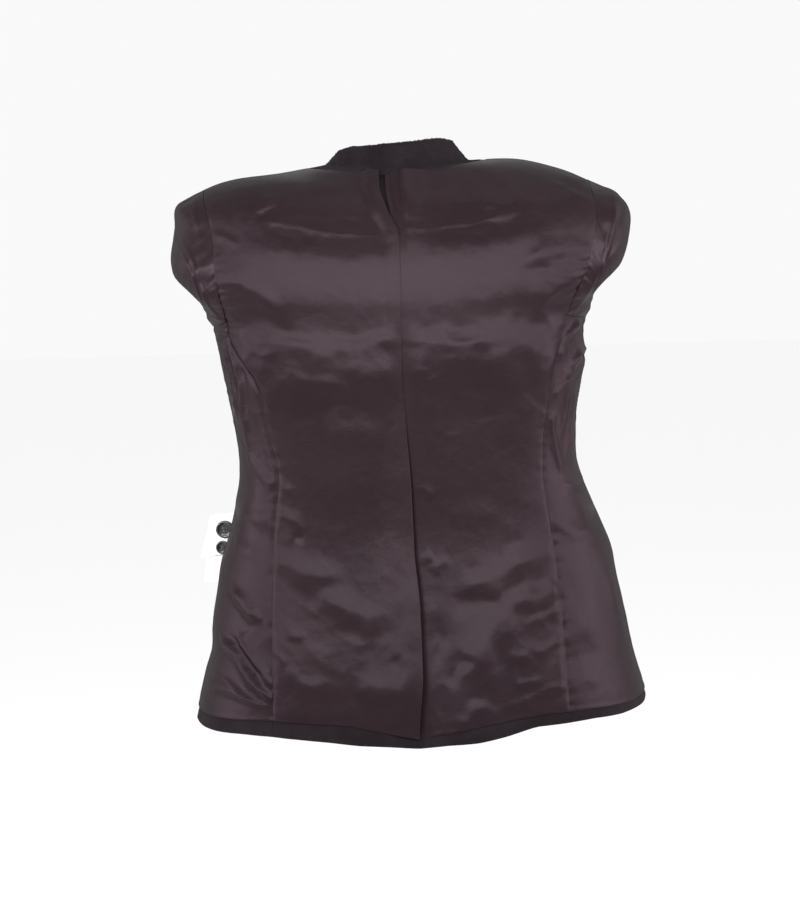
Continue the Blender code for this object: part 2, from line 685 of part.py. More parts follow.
def sleeve_rings(half):
    """Rings of the sleeve's lining face with their outward directions: over the cap, round the lip,
    back in over the underarm and down inside the body."""
    loop = half.armhole()
    lip = lip_loop(half, loop)
    rings = []
    normals = []
    for share in [SEAM_SHIFT] + even(CAP_STEPS)[1:]:
        ring = []
        line = []
        for (place, level), (_, lip_place, lip_level) in zip(loop, lip):
            here = (place + (lip_place - place) * share, level + (lip_level - level) * share)
            normal = body_normal(*here)
            ring.append(body_point(*here) + normal * CAP_PUFF * math.sin(math.pi * share))
            line.append(normal)
        rings.append(ring)
        normals.append(line)
    edge, outs = rings[-1], normals[-1]
    turn = LIP["turn"] * MM
    middle = sum(edge, Vector()) / len(edge)
    ways = []
    for index, point in enumerate(edge):
        along = edge[(index + 1) % len(edge)] - edge[index - 1]
        way = outs[index].cross(along).normalized()
        ways.append(way if way.dot(middle - point) > 0 else -way)
    for step in range(1, LIP_STEPS + 1):
        angle = math.pi * step / LIP_STEPS
        line = [out * math.cos(angle) + way * math.sin(angle) for out, way in zip(outs, ways)]
        rings.append([point - out * turn + normal * turn for point, out, normal in zip(edge, outs, line)])
        normals.append(line)
    angles = [angle for angle, _, _ in lip]
    for row in TURN_ROWS:
        turned = dict(zip(TURN_COLUMNS, row))
        low_level = level_of_height(half.side, turned["low_z"])
        low_x = abs(body_point(half.side, low_level).x) / MM - TURN_CLEAR
        bottom = Vector((half.side * low_x, 0.0, turned["low_z"])) * MM
        top = Vector((half.side * turned["top_x"], 0.0, turned["top_z"])) * MM
        ring = []
        for angle in angles:
            sag = -half.side * turned["saddle"] * math.sin(angle) ** 2
            across = Vector((sag, TURN_MIDDLE_Y - turned["half_depth"] * math.sin(angle), 0.0)) * MM
            ring.append(0.5 * (top + bottom) + 0.5 * (top - bottom) * math.cos(angle) + across)
        rings.append(ring)
    for row in SLEEVE_ROWS:
        hang = dict(zip(SLEEVE_COLUMNS, row))
        ring = []
        for angle in angles:
            level = max(level_of_height(half.side, hang["z"]), LEVEL["waist"])
            shift = hang["half_width"] * MM * math.sin(angle) / quarter_length(half.side, level)
            place = half.side * (1.0 - shift)
            depth = 2.0 * WOOL_BACK + (hang["clear"] + hang["half_thick"] * (1.0 + math.cos(angle))) * MM
            point = body_point(place, level) - body_normal(place, level) * depth
            point.z = hang["z"] * MM
            ring.append(point)
        rings.append(ring)
    for index in range(len(normals), len(rings)):
        before, ring, after = rings[index - 1], rings[index], rings[min(index + 1, len(rings) - 1)]
        line = []
        for column in range(len(ring)):
            across = ring[(column + 1) % len(ring)] - ring[column - 1]
            line.append(across.cross(after[column] - before[column]).normalized() * half.side)
        normals.append(line)
    return rings, normals


def make_sleeves(halves, lining, wool):
    for half in halves:
        rings, normals = sleeve_rings(half)

        def at_depth(depth, last):
            return [
                [point - normal * depth for point, normal in zip(ring, line)]
                for ring, line in zip(rings[:last], normals[:last])
            ]
        lined = CAP_STEPS + 1 + LIP_STEPS + SLEEVE_LINING_INSIDE
        flip = half.side < 0
        outer, inner = at_depth(0.0, lined), at_depth(LINING_THICK, lined)
        wall("sleeve_lining_" + half.name, outer, inner, lining, True, flip)
        outer, inner = at_depth(WOOL_TOP, len(rings)), at_depth(WOOL_BACK, len(rings))
        wall("wool_sleeve_" + half.name, outer, inner, wool, True, flip)


def button(name, middle, out, radius, thick, material):
    """A round button with a raised rim, its back at the middle point and its face turned out."""
    side = out.orthogonal().normalized()
    other = out.cross(side)
    points = []
    for share, height in BUTTON_PROFILE:
        for step in range(BUTTON_AROUND):
            angle = 2.0 * math.pi * step / BUTTON_AROUND
            way = side * math.cos(angle) + other * math.sin(angle)
            points.append(middle + (way * radius * share + out * thick * height) * MM)
    faces = [tuple(reversed(range(BUTTON_AROUND)))]
    last = BUTTON_AROUND * (len(BUTTON_PROFILE) - 1)
    faces.append(tuple(range(last, last + BUTTON_AROUND)))
    for row in range(len(BUTTON_PROFILE) - 1):
        for step in range(BUTTON_AROUND):
            a = row * BUTTON_AROUND + step
            b = row * BUTTON_AROUND + (step + 1) % BUTTON_AROUND
            faces.append((a, b, b + BUTTON_AROUND, a + BUTTON_AROUND))
    add_object(name, points, faces, material)


def make_label(half, label, plastic):
    """Two leaves of bare white tape in the side seam, with the spare buttons on the upper one."""
    faces_y = []
    for row in LEAF_ROWS:
        leaf = dict(zip(LEAF_COLUMNS, row))
        level = level_of_height(half.side, leaf["z"])
        y = body_point(half.front_outer(level), level).y + leaf["back"] * MM
        drop = math.tan(math.radians(leaf["tilt"])) * leaf["reach"] * MM
        front, back = [], []
        for up in even(5, -0.5, 0.5):
            level = level_of_height(half.side, leaf["z"] + leaf["height"] * up)
            seam = body_point(half.front_outer(level), level)
            line = []
            for share in even(3):
                x = seam.x + half.side * (LABEL_CLEAR + leaf["reach"] * share) * MM
                line.append(Vector((x, y + LABEL_CURL * share * share * MM, seam.z - drop * share)))
            front.append(line)
            back.append([point + Vector((0.0, LABEL_THICK * MM, 0.0)) for point in line])
        faces_y.append(y)
        wall(leaf["name"], front, back, label, flip=True)
    for row in SPARE_ROWS:
        spare = dict(zip(BUTTON_COLUMNS, row))
        middle = Vector((spare["x"] * MM, faces_y[0] - SEAM_GAP, spare["z"] * MM))
        button(spare["name"], middle, Vector((0.0, -1.0, 0.0)), spare["radius"], spare["thick"], plastic)


def make_front_buttons(half, plastic):
    for name, height in FRONT_BUTTON_HEIGHTS.items():
        level = level_of_height(half.side * FRONT_BUTTON["place"], height)
        edge = half.front_edge(level)
        place = edge - half.side * FRONT_BUTTON["from_edge"] * MM / quarter_length(edge, level)
        out = -body_normal(place, level)
        middle = body_point(place, level) + out * (WOOL_BACK + FRONT_BUTTON["clear"] * MM)
        button(name, middle, out, FRONT_BUTTON["radius"], FRONT_BUTTON["thick"], plastic)


def main():
    clear_scene()
    lining = make_material("lining_satin", LINING_COLOUR, 0.32)
    wool = make_material("wool", WOOL_COLOUR, 0.85)
    label = make_material("label_tape", LABEL_COLOUR, 0.5)
    plastic = make_material("button_plastic", BUTTON_COLOUR, 0.25)
    halves = [Half(side) for side in SIDE_NAMES]
    make_backs(halves, lining, wool)
    make_sides(halves, lining, wool)
    make_fronts(halves, lining, wool)
    make_lapels(halves, wool)
    make_collar(wool)
    make_sleeves(halves, lining, wool)
    make_label(halves[0], label, plastic)
    make_front_buttons(halves[1], plastic)


main()
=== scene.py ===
import math

import bmesh
import bpy
import numpy as np
from mathutils import Euler, Matrix, Vector


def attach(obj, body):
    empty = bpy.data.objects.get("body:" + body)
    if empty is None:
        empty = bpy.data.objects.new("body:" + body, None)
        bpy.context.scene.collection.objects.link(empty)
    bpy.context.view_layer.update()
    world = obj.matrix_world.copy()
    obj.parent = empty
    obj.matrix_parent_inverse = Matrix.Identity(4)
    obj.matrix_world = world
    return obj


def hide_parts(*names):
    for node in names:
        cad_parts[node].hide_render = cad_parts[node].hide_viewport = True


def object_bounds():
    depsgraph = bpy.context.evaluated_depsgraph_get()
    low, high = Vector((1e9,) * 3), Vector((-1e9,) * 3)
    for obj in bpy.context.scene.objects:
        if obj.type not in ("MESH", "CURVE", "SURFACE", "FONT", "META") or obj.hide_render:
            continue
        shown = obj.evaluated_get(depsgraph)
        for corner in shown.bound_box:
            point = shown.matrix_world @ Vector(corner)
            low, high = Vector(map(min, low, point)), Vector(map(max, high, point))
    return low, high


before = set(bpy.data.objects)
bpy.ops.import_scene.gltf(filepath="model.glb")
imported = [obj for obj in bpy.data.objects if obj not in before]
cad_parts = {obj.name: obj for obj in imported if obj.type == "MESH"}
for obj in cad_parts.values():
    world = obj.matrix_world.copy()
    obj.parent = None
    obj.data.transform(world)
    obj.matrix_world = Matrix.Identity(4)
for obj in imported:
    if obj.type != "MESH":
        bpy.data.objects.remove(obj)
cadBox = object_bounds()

mm = 0.001
print("frame loaded")

# Camera, light and floor. The numbers are millimetres and degrees, read off the photograph.
studio = {
    "cameraPlace": (0, -2600, 30),
    "cameraDown": 7.5,
    "cameraRoll": -1.5,
    "focalPixels": 2430,
    "frameHeight": 914,
    "sensor": 36,
    "floorDrop": 900,
    "floorSize": 30,
    "floorColour": (0.975, 0.975, 0.98),
    "floorRough": 0.9,
    "airColour": (1.0, 1.0, 1.0),
    "airStrength": 0.95,
}
lamps = {
    "key": {"place": (-20, -940, -35), "size": (2300, 150), "aim": (0, 0, -110), "watts": 33,
            "colour": (1, 1, 1)},
    "sideLeft": {"place": (-2300, -500, -260), "size": (1100, 700), "aim": (0, 0, -260), "watts": 33,
                 "colour": (1, 0.83, 0.92)},
    "sideRight": {"place": (2300, -500, -260), "size": (1100, 700), "aim": (0, 0, -260), "watts": 37,
                  "colour": (1, 0.83, 0.90)},
    "top": {"place": (500, -700, 2300), "size": (1100, 420), "aim": (0, 0, -150), "watts": 13,
            "colour": (1, 0.92, 0.95)},
    "frontLeft": {"place": (-2700, 1500, 300), "size": (1300, 1300), "aim": (0, 0, -300), "watts": 4,
                  "colour": (1, 0.9, 0.95)},
    "frontRight": {"place": (2700, 1500, 300), "size": (1300, 1300), "aim": (0, 0, -300), "watts": 4,
                   "colour": (1, 0.9, 0.95)},
}


def makeCamera():
    data = bpy.data.cameras.new("camera")
    data.sensor_fit = "VERTICAL"
    data.sensor_height = studio["sensor"]
    data.lens = studio["focalPixels"] / studio["frameHeight"] * studio["sensor"]
    camera = bpy.data.objects.new("camera", data)
    pitch = Euler((math.radians(90 - studio["cameraDown"]), 0, 0)).to_matrix().to_4x4()
    roll = Matrix.Rotation(math.radians(studio["cameraRoll"]), 4, "Z")
    camera.matrix_world = Matrix.Translation(Vector(studio["cameraPlace"]) * mm) @ pitch @ roll
    bpy.context.scene.collection.objects.link(camera)
    bpy.context.scene.camera = camera


def makeLamp(name, values):
    data = bpy.data.lights.new(name, "AREA")
    data.shape = "RECTANGLE"
    data.size, data.size_y = values["size"][0] * mm, values["size"][1] * mm
    data.energy = values["watts"]
    data.color = values["colour"]
    lamp = bpy.data.objects.new(name, data)
    lamp.location = Vector(values["place"]) * mm
    aim = Vector(values["aim"]) * mm - lamp.location
    lamp.rotation_euler = aim.to_track_quat("-Z", "Y").to_euler()
    lamp.visible_camera = False
    bpy.context.scene.collection.objects.link(lamp)


def makeFloor():
    half = studio["floorSize"] / 2
    z = cadBox[0][2] - studio["floorDrop"] * mm
    mesh = bpy.data.meshes.new("studioFloor")
    corners = [(-half, -half, z), (half, -half, z), (half, half, z), (-half, half, z)]
    mesh.from_pydata(corners, [], [(0, 1, 2, 3)])
    floor = bpy.data.objects.new("studioFloor", mesh)
    material = bpy.data.materials.new("studioFloor")
    material.use_nodes = True
    shader = material.node_tree.nodes["Principled BSDF"]
    shader.inputs["Base Color"].default_value = (*studio["floorColour"], 1)
    shader.inputs["Roughness"].default_value = studio["floorRough"]
    mesh.materials.append(material)
    bpy.context.scene.collection.objects.link(floor)


def makeAir():
    world = bpy.data.worlds.new("studioAir")
    world.use_nodes = True
    air = world.node_tree.nodes["Background"]
    air.inputs["Color"].default_value = (*studio["airColour"], 1)
    air.inputs["Strength"].default_value = studio["airStrength"]
    bpy.context.scene.world = world


makeCamera()
for lampName, lampValues in lamps.items():
    makeLamp(lampName, lampValues)
makeFloor()
makeAir()
bpy.context.scene.view_settings.view_transform = "Standard"
print("camera, lamps and floor made")

# The body's form: rings from the hem up to the neck, in millimetres. Heights are at the centre back, both
# sides and the centre front, left and right are half widths from xMiddle.
ringColumns = ("zBack", "zLeft", "zRight", "zFront", "left", "right", "yLeft", "yRight", "yBack", "yFront",
               "xMiddle", "roundBack", "roundFront")
bodyRings = {
    "hem": (-602, -602, -602, -602, 244, 251, 8, 34, -133, 106, 14, 2.3, 2.3),
    "lowHip": (-540, -540, -540, -540, 231, 237, 6, 27, -125, 106, 14, 2.35, 2.3),
    "hip": (-470, -470, -470, -470, 219, 225, 4, 20, -113, 105, 13, 2.4, 2.35),
    "highHip": (-390, -390, -390, -390, 195, 207, 2, 12, -102, 101, 9, 2.5, 2.4),
    "waist": (-315, -315, -315, -315, 180, 183, 0, 6, -103, 96, 7, 2.6, 2.4),
    "midriff": (-235, -235, -235, -235, 188, 191, 0, 2, -109, 107, 4, 2.6, 2.4),
    "underarm": (-160, -158, -158, -165, 200, 202, 0, 0, -116, 105, 2, 2.6, 2.4),
    "capMouth": (-131, -128, -128, -146, 229, 227, 0, 0, -118, 104, 2, 2.55, 2.4),
    "capFold": (-104, -98, -98, -128, 240, 243, 0, 0, -117, 101, 2, 2.5, 2.4),
    "capSide": (-78, -62, -62, -110, 233, 247, 0, 0, -112, 96, 2, 2.5, 2.3),
    "capTop": (-58, -38, -38, -97, 230, 236, 0, 0, -105, 91, 2, 2.5, 2.3),
    "shoulderTip": (-42, -20, -20, -86, 202, 204, 0, 0, -97, 85, 2, 2.5, 2.3),
    "outerShoulder": (-27, -10, -7, -76, 171, 173, 0, 0, -86, 77, 3, 2.3, 2.2),
    "innerShoulder": (-14, -5, 4, -65, 125, 127, 0, 0, -74, 68, 4, 2.1, 2.1),
    "neck": (0, 3, 4, -54, 75, 77, 0, 0, -61, 58, 4, 2.0, 2.0),
}
ringTable = np.array(list(bodyRings.values()), float)
levelOf = {name: float(index) for index, name in enumerate(bodyRings)}
topLevel = len(ringTable) - 1
turnSteps = 64
turnRows = 16  # rows of the turn table for each ring

# Soft swells of the whole body: place, reach each way and how far out, in millimetres
bodySwells = (
    (60, -125, -590, 42, 90, 90, 5.0),
    (128, -115, -600, 34, 90, 90, -5.0),
    (-90, -120, -600, 50, 90, 80, -3.0),
    (-222, 5, -560, 60, 60, 26, 0.5),
    (-206, 5, -513, 60, 60, 20, -3.0),
    (-195, 5, -418, 60, 60, 24, 3.2),
    (200, 5, -212, 60, 60, 26, 5.0),
    (220, 10, -414, 60, 60, 24, 3.5),
)

# How far the hem's edge is drawn up, as (x, rise) in millimetres, fading out at hemCalm
hemRise = ((-206, 10), (-175, 12), (-144, 12), (-112, 10), (-81, 8), (-50, 5), (-19, 4), (12, 2), (44, 5),
           (75, 6), (106, 10), (137, 17), (168, 18), (199, 19), (230, 17))
hemCalm = -500

# Seams as (z, x) in millimetres
seams = {
    "armBackLeft": ((-22, -200), (-61, -189), (-123, -185), (-160, -178)),
    "armBackRight": ((-22, 206), (-57, 211), (-112, 199), (-139, 185), (-160, 177)),
    "armFrontLeft": ((-22, -200), (-61, -190), (-110, -180), (-165, -176)),
    "armFrontRight": ((-22, 206), (-61, 196), (-110, 184), (-165, 178)),
    "backLeft": ((-160, -178), (-183, -174), (-208, -156), (-225, -145), (-260, -140), (-318, -127),
                 (-379, -135), (-450, -139), (-602, -142)),
    "backRight": ((-160, 177), (-182, 171), (-227, 160), (-280, 151), (-332, 150), (-373, 156), (-446, 165),
                  (-547, 171), (-602, 174)),
    "pleat": ((5, -2), (-18, -4), (-40, 0), (-64, 5), (-135, 5), (-223, 4), (-290, 8), (-330, 10), (-405, 11),
              (-448, 15), (-533, 17), (-570, 13), (-602, 11)),
    "facingLeft": ((0, -92), (-40, -98), (-100, -104), (-200, -104), (-300, -98), (-450, -108), (-602, -124)),
    "facingRight": ((0, 94), (-40, 100), (-100, 106), (-200, 106), (-300, 102), (-450, 114), (-602, 136)),
    "edgeLeft": ((-10, -60), (-276, -24), (-340, -26), (-450, -34), (-602, -50)),
    "edgeRight": ((-10, 64), (-276, 30), (-340, 34), (-450, 46), (-602, 70)),
}
sideSeam = ((0.0, 1.17), (3.0, 1.12), (4.5, 1.13), (5.5, 1.19))  # level and place of the front side seam
seamRounding = (-12, -6, 0, 6, 12)  # a seam's corners are rounded over these heights
seamRows = 30  # rows of the seams' places for each ring
# Places between which the right half's seams are looked for
seamRange = {"armBack": (0.3, 0.9999), "back": (0.3, 0.9999), "armFront": (1.0001, 1.7), "edge": (1.1, 2.0),
             "facing": (1.001, 1.95)}
pleatRange = (-0.4, 0.4)
hemCorner = 42  # radius of the front corners at the hem
sideNames = {-1: "Left", 1: "Right"}
halvings = 28  # steps in which a place or level is found


def smooth(value):
    value = np.clip(value, 0.0, 1.0)
    return value * value * (3.0 - 2.0 * value)


def tableAt(rows, key):
    ordered = sorted(rows)
    return np.interp(key, [row[0] for row in ordered], [row[1] for row in ordered])


def curved(p0, p1, p2, p3, share):
    # A smooth curve from p1 to p2
    bend = 2.0 * p0 - 5.0 * p1 + 4.0 * p2 - p3
    twist = 3.0 * p1 - p0 - 3.0 * p2 + p3
    return 0.5 * (2.0 * p1 + (p2 - p0) * share + bend * share ** 2 + twist * share ** 3)


def ringsAt(level):
    level = np.clip(level, 0.0, topLevel)
    low = np.minimum(level.astype(int), topLevel - 1)
    picks = [ringTable[np.clip(low + step, 0, topLevel)] for step in (-1, 0, 1, 2)]
    values = curved(*picks, (level - low)[..., None])
    return dict(zip(ringColumns, np.moveaxis(values, -1, 0)))


def quarterSizes(rings, side, front):
    # side is 1 on the right and front is 1 on the front, as numbers or arrays
    halfWidth = np.where(side == 1, rings["right"], rings["left"])
    ySide = np.where(side == 1, rings["yRight"], rings["yLeft"])
    yEnd = np.where(front == 1, rings["yFront"], rings["yBack"])
    power = np.where(front == 1, rings["roundFront"], rings["roundBack"])
    return halfWidth, ySide, np.abs(yEnd - ySide), power


def radiusAt(turn, halfWidth, depth, power):
    across = np.abs(np.sin(turn)) / halfWidth
    along = np.abs(np.cos(turn)) / depth
    return (across ** power + along ** power) ** (-1.0 / power)


def makeTurnTable():
    # For each quarter and level, the turn at even shares of the quarter's length
    levels = np.linspace(0, topLevel, topLevel * turnRows + 1)
    rings = ringsAt(levels)
    turns = np.linspace(0, 0.5 * math.pi, turnSteps + 1)
    even = np.linspace(0, 1, turnSteps + 1)
    table = np.zeros((2, 2, len(levels), turnSteps + 1))
    totals = np.zeros((2, 2, len(levels)))
    for side in (0, 1):
        for front in (0, 1):
            halfWidth, _, depth, power = quarterSizes(rings, side, front)
            radius = radiusAt(turns[None], halfWidth[:, None], depth[:, None], power[:, None])
            steps = np.hypot(np.diff(radius * np.sin(turns)), np.diff(radius * np.cos(turns)))
            lengths = np.concatenate([np.zeros((len(levels), 1)), np.cumsum(steps, axis=1)], axis=1)
            totals[side, front] = lengths[:, -1]
            for row in range(len(levels)):
                table[side, front, row] = np.interp(even, lengths[row] / lengths[row, -1], turns)
    return table, totals


turnTable, quarterTotals = makeTurnTable()


def splitPlace(place):
    place = np.where(np.abs(place) > 2, place - np.copysign(4.0, place), place)
    side = (place >= 0).astype(int)
    front = (np.abs(place) > 1).astype(int)
    return side, front, np.where(front == 1, 2 - np.abs(place), np.abs(place))


def quarterLength(place, level):
    side, front, _ = splitPlace(np.asarray(place, float))
    row = np.clip(np.round(np.asarray(level) * turnRows).astype(int), 0, topLevel * turnRows)
    return quarterTotals[side, front, row]


# Place on the outer lining face. Place is 0 at the centre back, 1 at the side and 2 at the centre front,
# negative on the left, and level counts the rings up from the hem.
def bodyPoint(place, level):
    place, level = np.broadcast_arrays(np.asarray(place, float), np.clip(level, 0.0, topLevel))
    side, front, share = splitPlace(place)
    row = level * turnRows
    rowLow = np.minimum(row.astype(int), topLevel * turnRows - 1)
    column = share * turnSteps
    columnLow = np.minimum(column.astype(int), turnSteps - 1)
    rowShare, columnShare = row - rowLow, column - columnLow
    turn = 0.0
    for rowStep in (0, 1):
        for columnStep in (0, 1):
            weight = np.abs(1 - rowStep - rowShare) * np.abs(1 - columnStep - columnShare)
            turn = turn + weight * turnTable[side, front, rowLow + rowStep, columnLow + columnStep]
    rings = ringsAt(level)
    halfWidth, ySide, depth, power = quarterSizes(rings, side, front)
    radius = radiusAt(turn, halfWidth, depth, power)
    zEnd = np.where(front == 1, rings["zFront"], rings["zBack"])
    zSide = np.where(side == 1, rings["zRight"], rings["zLeft"])
    z = zEnd + (zSide - zEnd) * np.sin(0.5 * math.pi * share) ** 2
    way = np.where(side == 1, 1, -1) * np.sin(turn)
    facing = np.where(front == 1, 1, -1) * np.cos(turn)
    x, y = rings["xMiddle"] + radius * way, ySide + radius * facing
    for sx, sy, sz, reachX, reachY, reachZ, out in bodySwells:
        far = ((x - sx) / reachX) ** 2 + ((y - sy) / reachY) ** 2 + ((z - sz) / reachZ) ** 2
        radius = radius + out * np.exp(-far)
    x, y = rings["xMiddle"] + radius * way, ySide + radius * facing
    z = z + tableAt(hemRise, x) * smooth((hemCalm - z) / (hemCalm - bodyRings["hem"][0]))
    return np.stack([x, y, z], axis=-1) * mm


def unit(vectors):
    return vectors / np.maximum(np.linalg.norm(vectors, axis=-1, keepdims=True), 1e-12)


def bodyNormal(place, level):
    step = 0.02
    across = bodyPoint(place + step, level) - bodyPoint(place - step, level)
    along = bodyPoint(place, level + step) - bodyPoint(place, level - step)
    return unit(np.cross(across, along))


def solve(function, low, high, shape):
    # Where function changes sign between low and high, for a whole array at once
    low, high = np.full(shape, float(low)), np.full(shape, float(high))
    rising = function(high) > function(low)
    for _ in range(halvings):
        middle = 0.5 * (low + high)
        above = (function(middle) > 0) == rising
        high = np.where(above, middle, high)
        low = np.where(above, low, middle)
    return 0.5 * (low + high)


def levelOfHeight(place, height):
    place, height = np.broadcast_arrays(np.asarray(place, float), np.asarray(height, float))
    return solve(lambda level: bodyPoint(place, level)[..., 2] / mm - height, 0.0, topLevel, place.shape)


def seamX(name, z):
    return sum(tableAt(seams[name], z + shift) for shift in seamRounding) / len(seamRounding)


seamLevels = np.linspace(0, topLevel, topLevel * seamRows + 1)


def seamPlace(name, low, high):
    def beyond(place):
        point = bodyPoint(place, seamLevels) / mm
        return point[..., 0] - seamX(name, point[..., 2])

    return solve(beyond, low, high, seamLevels.shape)


def halfSeam(kind, side):
    low, high = seamRange[kind]
    return seamPlace(kind + sideNames[side], side * low, side * high)


def makeEdges(side):
    # Places of one half's seams at seamLevels
    tip, underarm = levelOf["shoulderTip"], levelOf["underarm"]
    back = np.where(seamLevels > underarm, halfSeam("armBack", side), halfSeam("back", side))
    armhole = halfSeam("armFront", side)
    armhole = np.interp(np.maximum(seamLevels, underarm), seamLevels, armhole)
    front = side * tableAt(sideSeam, seamLevels)
    front = front + (armhole - front) * smooth(seamLevels + 1.0 - underarm)
    back = np.where(seamLevels >= tip, side * 1.0, back)
    front = np.where(seamLevels >= tip, side * 1.0, front)
    free = halfSeam("edge", side)
    rise = (bodyPoint(free, seamLevels) - bodyPoint(free, 0 * free))[..., 2] / mm
    inset = hemCorner - np.sqrt(np.maximum(0.0, hemCorner ** 2 - np.maximum(0.0, hemCorner - rise) ** 2))
    free = free - side * inset / quarterLength(free, seamLevels)
    facing = side * np.maximum(np.abs(halfSeam("facing", side)), np.abs(front))
    return {"back": back, "front": front, "free": free, "facing": facing}


edges = {side: makeEdges(side) for side in sideNames}
pleatPlace = seamPlace("pleat", *pleatRange)
print("body form and seams worked out")

# The lining's thickness, the gap and groove of a seam, and the puckers along it, in millimetres. The
# underarm dips in levels.
cloth = {
    "lining": 0.7,
    "seamGap": 0.3,
    "seamDip": {-1: 0.9, 1: 0.6}, "seamReach": 2.8,
    "pucker": 0.81, "puckerReach": 9, "puckerSize": 8.5, "puckerBunch": 60,
    "underarmDip": 0.12,
}
noiseCells = 64
noiseAngles = np.random.RandomState(11).rand(noiseCells, noiseCells) * 2 * math.pi
seedStep = (17.31, 9.73)
creaseSharp = 2.6


def softNoise(u, v, size, seed):
    # Smooth noise of about -1 to 1 with waves of this size in millimetres
    u = u / size + seed * seedStep[0]
    v = v / size + seed * seedStep[1]
    column, row = np.floor(u).astype(int), np.floor(v).astype(int)
    fu, fv = u - column, v - row

    def corner(du, dv):
        angle = noiseAngles[(column + du) % noiseCells, (row + dv) % noiseCells]
        return np.cos(angle) * (fu - du) + np.sin(angle) * (fv - dv)

    wu = fu ** 3 * (fu * (fu * 6 - 15) + 10)
    wv = fv ** 3 * (fv * (fv * 6 - 15) + 10)
    low = corner(0, 0) * (1 - wu) + corner(1, 0) * wu
    high = corner(0, 1) * (1 - wu) + corner(1, 1) * wu
    return 1.6 * (low * (1 - wv) + high * wv)


def creases(u, v, size, seed):
    # A net of thin soft ridges, 0 between them and 1 along them
    return np.maximum(0.0, 1 - creaseSharp * np.abs(softNoise(u, v, size, seed))) ** 2


def unrolled(place, level):
    # Distance round the body from the centre back, in millimetres
    side, front, share = splitPlace(np.asarray(place, float))
    sign = np.where(side == 1, 1.0, -1.0)
    backLength = quarterLength(0.5 * sign, level)
    frontLength = quarterLength(1.5 * sign, level)
    return sign * np.where(front == 1, backLength + (1 - share) * frontLength, share * backLength)


def pathOnBody(points, side, front):
    # Points seen straight from behind, or from the front, laid onto the unrolled cloth
    x, z = np.array(points, float).T
    low, high = (side * 1.02, side * 1.98) if front else (side * 0.0, side * 0.98)
    place = np.full(x.shape, 0.5 * (low + high))
    for _ in range(3):
        level = levelOfHeight(place, z)
        place = solve(lambda p: bodyPoint(p, level)[..., 0] / mm - x, low, high, x.shape)
    return np.stack([unrolled(place, level), z], axis=-1)


def roundedPath(points, steps=5):
    ends = np.concatenate([points[:1] * 2 - points[1:2], points, points[-1:] * 2 - points[-2:-1]])
    shares = np.arange(steps)[:, None] / steps
    runs = [curved(*ends[index:index + 4], shares) for index in range(len(points) - 1)]
    return np.concatenate(runs + [points[-1:]])


# How a listed fold varies: the share by which it widens where it leans, how uneven its width and height
# are, with the waves' sizes, the share of its length that tapers off, and how far its line wanders and shakes
foldHand = {
    "lean": 0.55, "width": 0.25, "widthSize": 23, "height": 0.3, "heightSize": 31, "taper": 0.32,
    "wander": 2.6, "shake": 0.9, "sizesU": (34, 12), "sizesV": (37, 13),
}


def foldHeight(fold, line, u, v):
    # One listed fold: its reach and height, how far it leans, how crisp it is, and its open ends
    reach, high, lean, crisp, ends = fold[:5]
    total = np.zeros_like(u)
    near = np.ones_like(u, bool)
    for axis, value in ((0, u), (1, v)):
        near &= (value > line[:, axis].min() - 3 * reach) & (value < line[:, axis].max() + 3 * reach)
    if not near.any():
        return total
    pu, pv = u[near], v[near]
    steps = np.hypot(*np.diff(line, axis=0).T)
    starts = np.concatenate([[0], np.cumsum(steps)])
    best = np.full(pu.shape, 1e9)
    away, along = np.zeros_like(pu), np.zeros_like(pu)
    for first, last, start, length in zip(line[:-1], line[1:], starts, steps):
        du, dv = (last - first) / length
        run = np.clip((pu - first[0]) * du + (pv - first[1]) * dv, 0, length)
        ou, ov = pu - first[0] - run * du, pv - first[1] - run * dv
        far = np.hypot(ou, ov)
        closer = far < best
        best = np.where(closer, far, best)
        away = np.where(closer, np.sign(ou * dv - ov * du) * far, away)
        along = np.where(closer, (start + run) / starts[-1], along)
    width = reach * (1 + foldHand["lean"] * lean * np.tanh(2 * away / reach))
    width = width * (1 + foldHand["width"] * softNoise(pu, pv, foldHand["widthSize"], 5))
    shape = np.exp(-(np.abs(away) / width) ** crisp)
    if "start" not in ends:
        shape = shape * smooth(along / foldHand["taper"])
    if "end" not in ends:
        shape = shape * smooth((1 - along) / foldHand["taper"])
    total[near] = high * shape * (1 + foldHand["height"] * softNoise(pu, pv, foldHand["heightSize"], 6))
    return total


def wander(u, v, sizes, seed):
    # The cloth's own wander keeps the folds from running dead straight
    slow = foldHand["wander"] * softNoise(u, v, sizes[0], seed)
    return slow + foldHand["shake"] * softNoise(u, v, sizes[1], seed + 1)


def foldsOf(rows, u, v, side, front=False):
    wanderU = u + wander(u, v, foldHand["sizesU"], 1)
    wanderV = v + wander(u, v, foldHand["sizesV"], 3)
    paths = pathOnBody([point for fold in rows for point in fold[5:]], side, front)
    total = np.zeros_like(u)
    start = 0
    for fold in rows:
        count = len(fold) - 5
        total += foldHeight(fold, roundedPath(paths[start:start + count]), wanderU, wanderV)
        start += count
    return total


def seamRelief(distance, v, side, seed):
    # The groove along a seam with the small puckers that its thread draws in
    groove = cloth["seamDip"][side] * np.exp(-(distance / cloth["seamReach"]) ** 2)
    ripple = softNoise(v, 0.15 * distance + 40 * seed, cloth["puckerSize"], seed)
    strength = 0.5 + 0.5 * softNoise(v, 0 * v + 7, cloth["puckerBunch"], seed + 3)
    ripple = ripple * strength * np.exp(-(distance / cloth["puckerReach"]) ** 2)
    return cloth["pucker"] * ripple - groove


def gridNormals(grid, closed=False):
    rows = np.gradient(grid, axis=0)
    if closed:
        columns = np.roll(grid, -1, axis=1) - np.roll(grid, 1, axis=1)
    else:
        columns = np.gradient(grid, axis=1)
    return unit(np.cross(columns, rows))


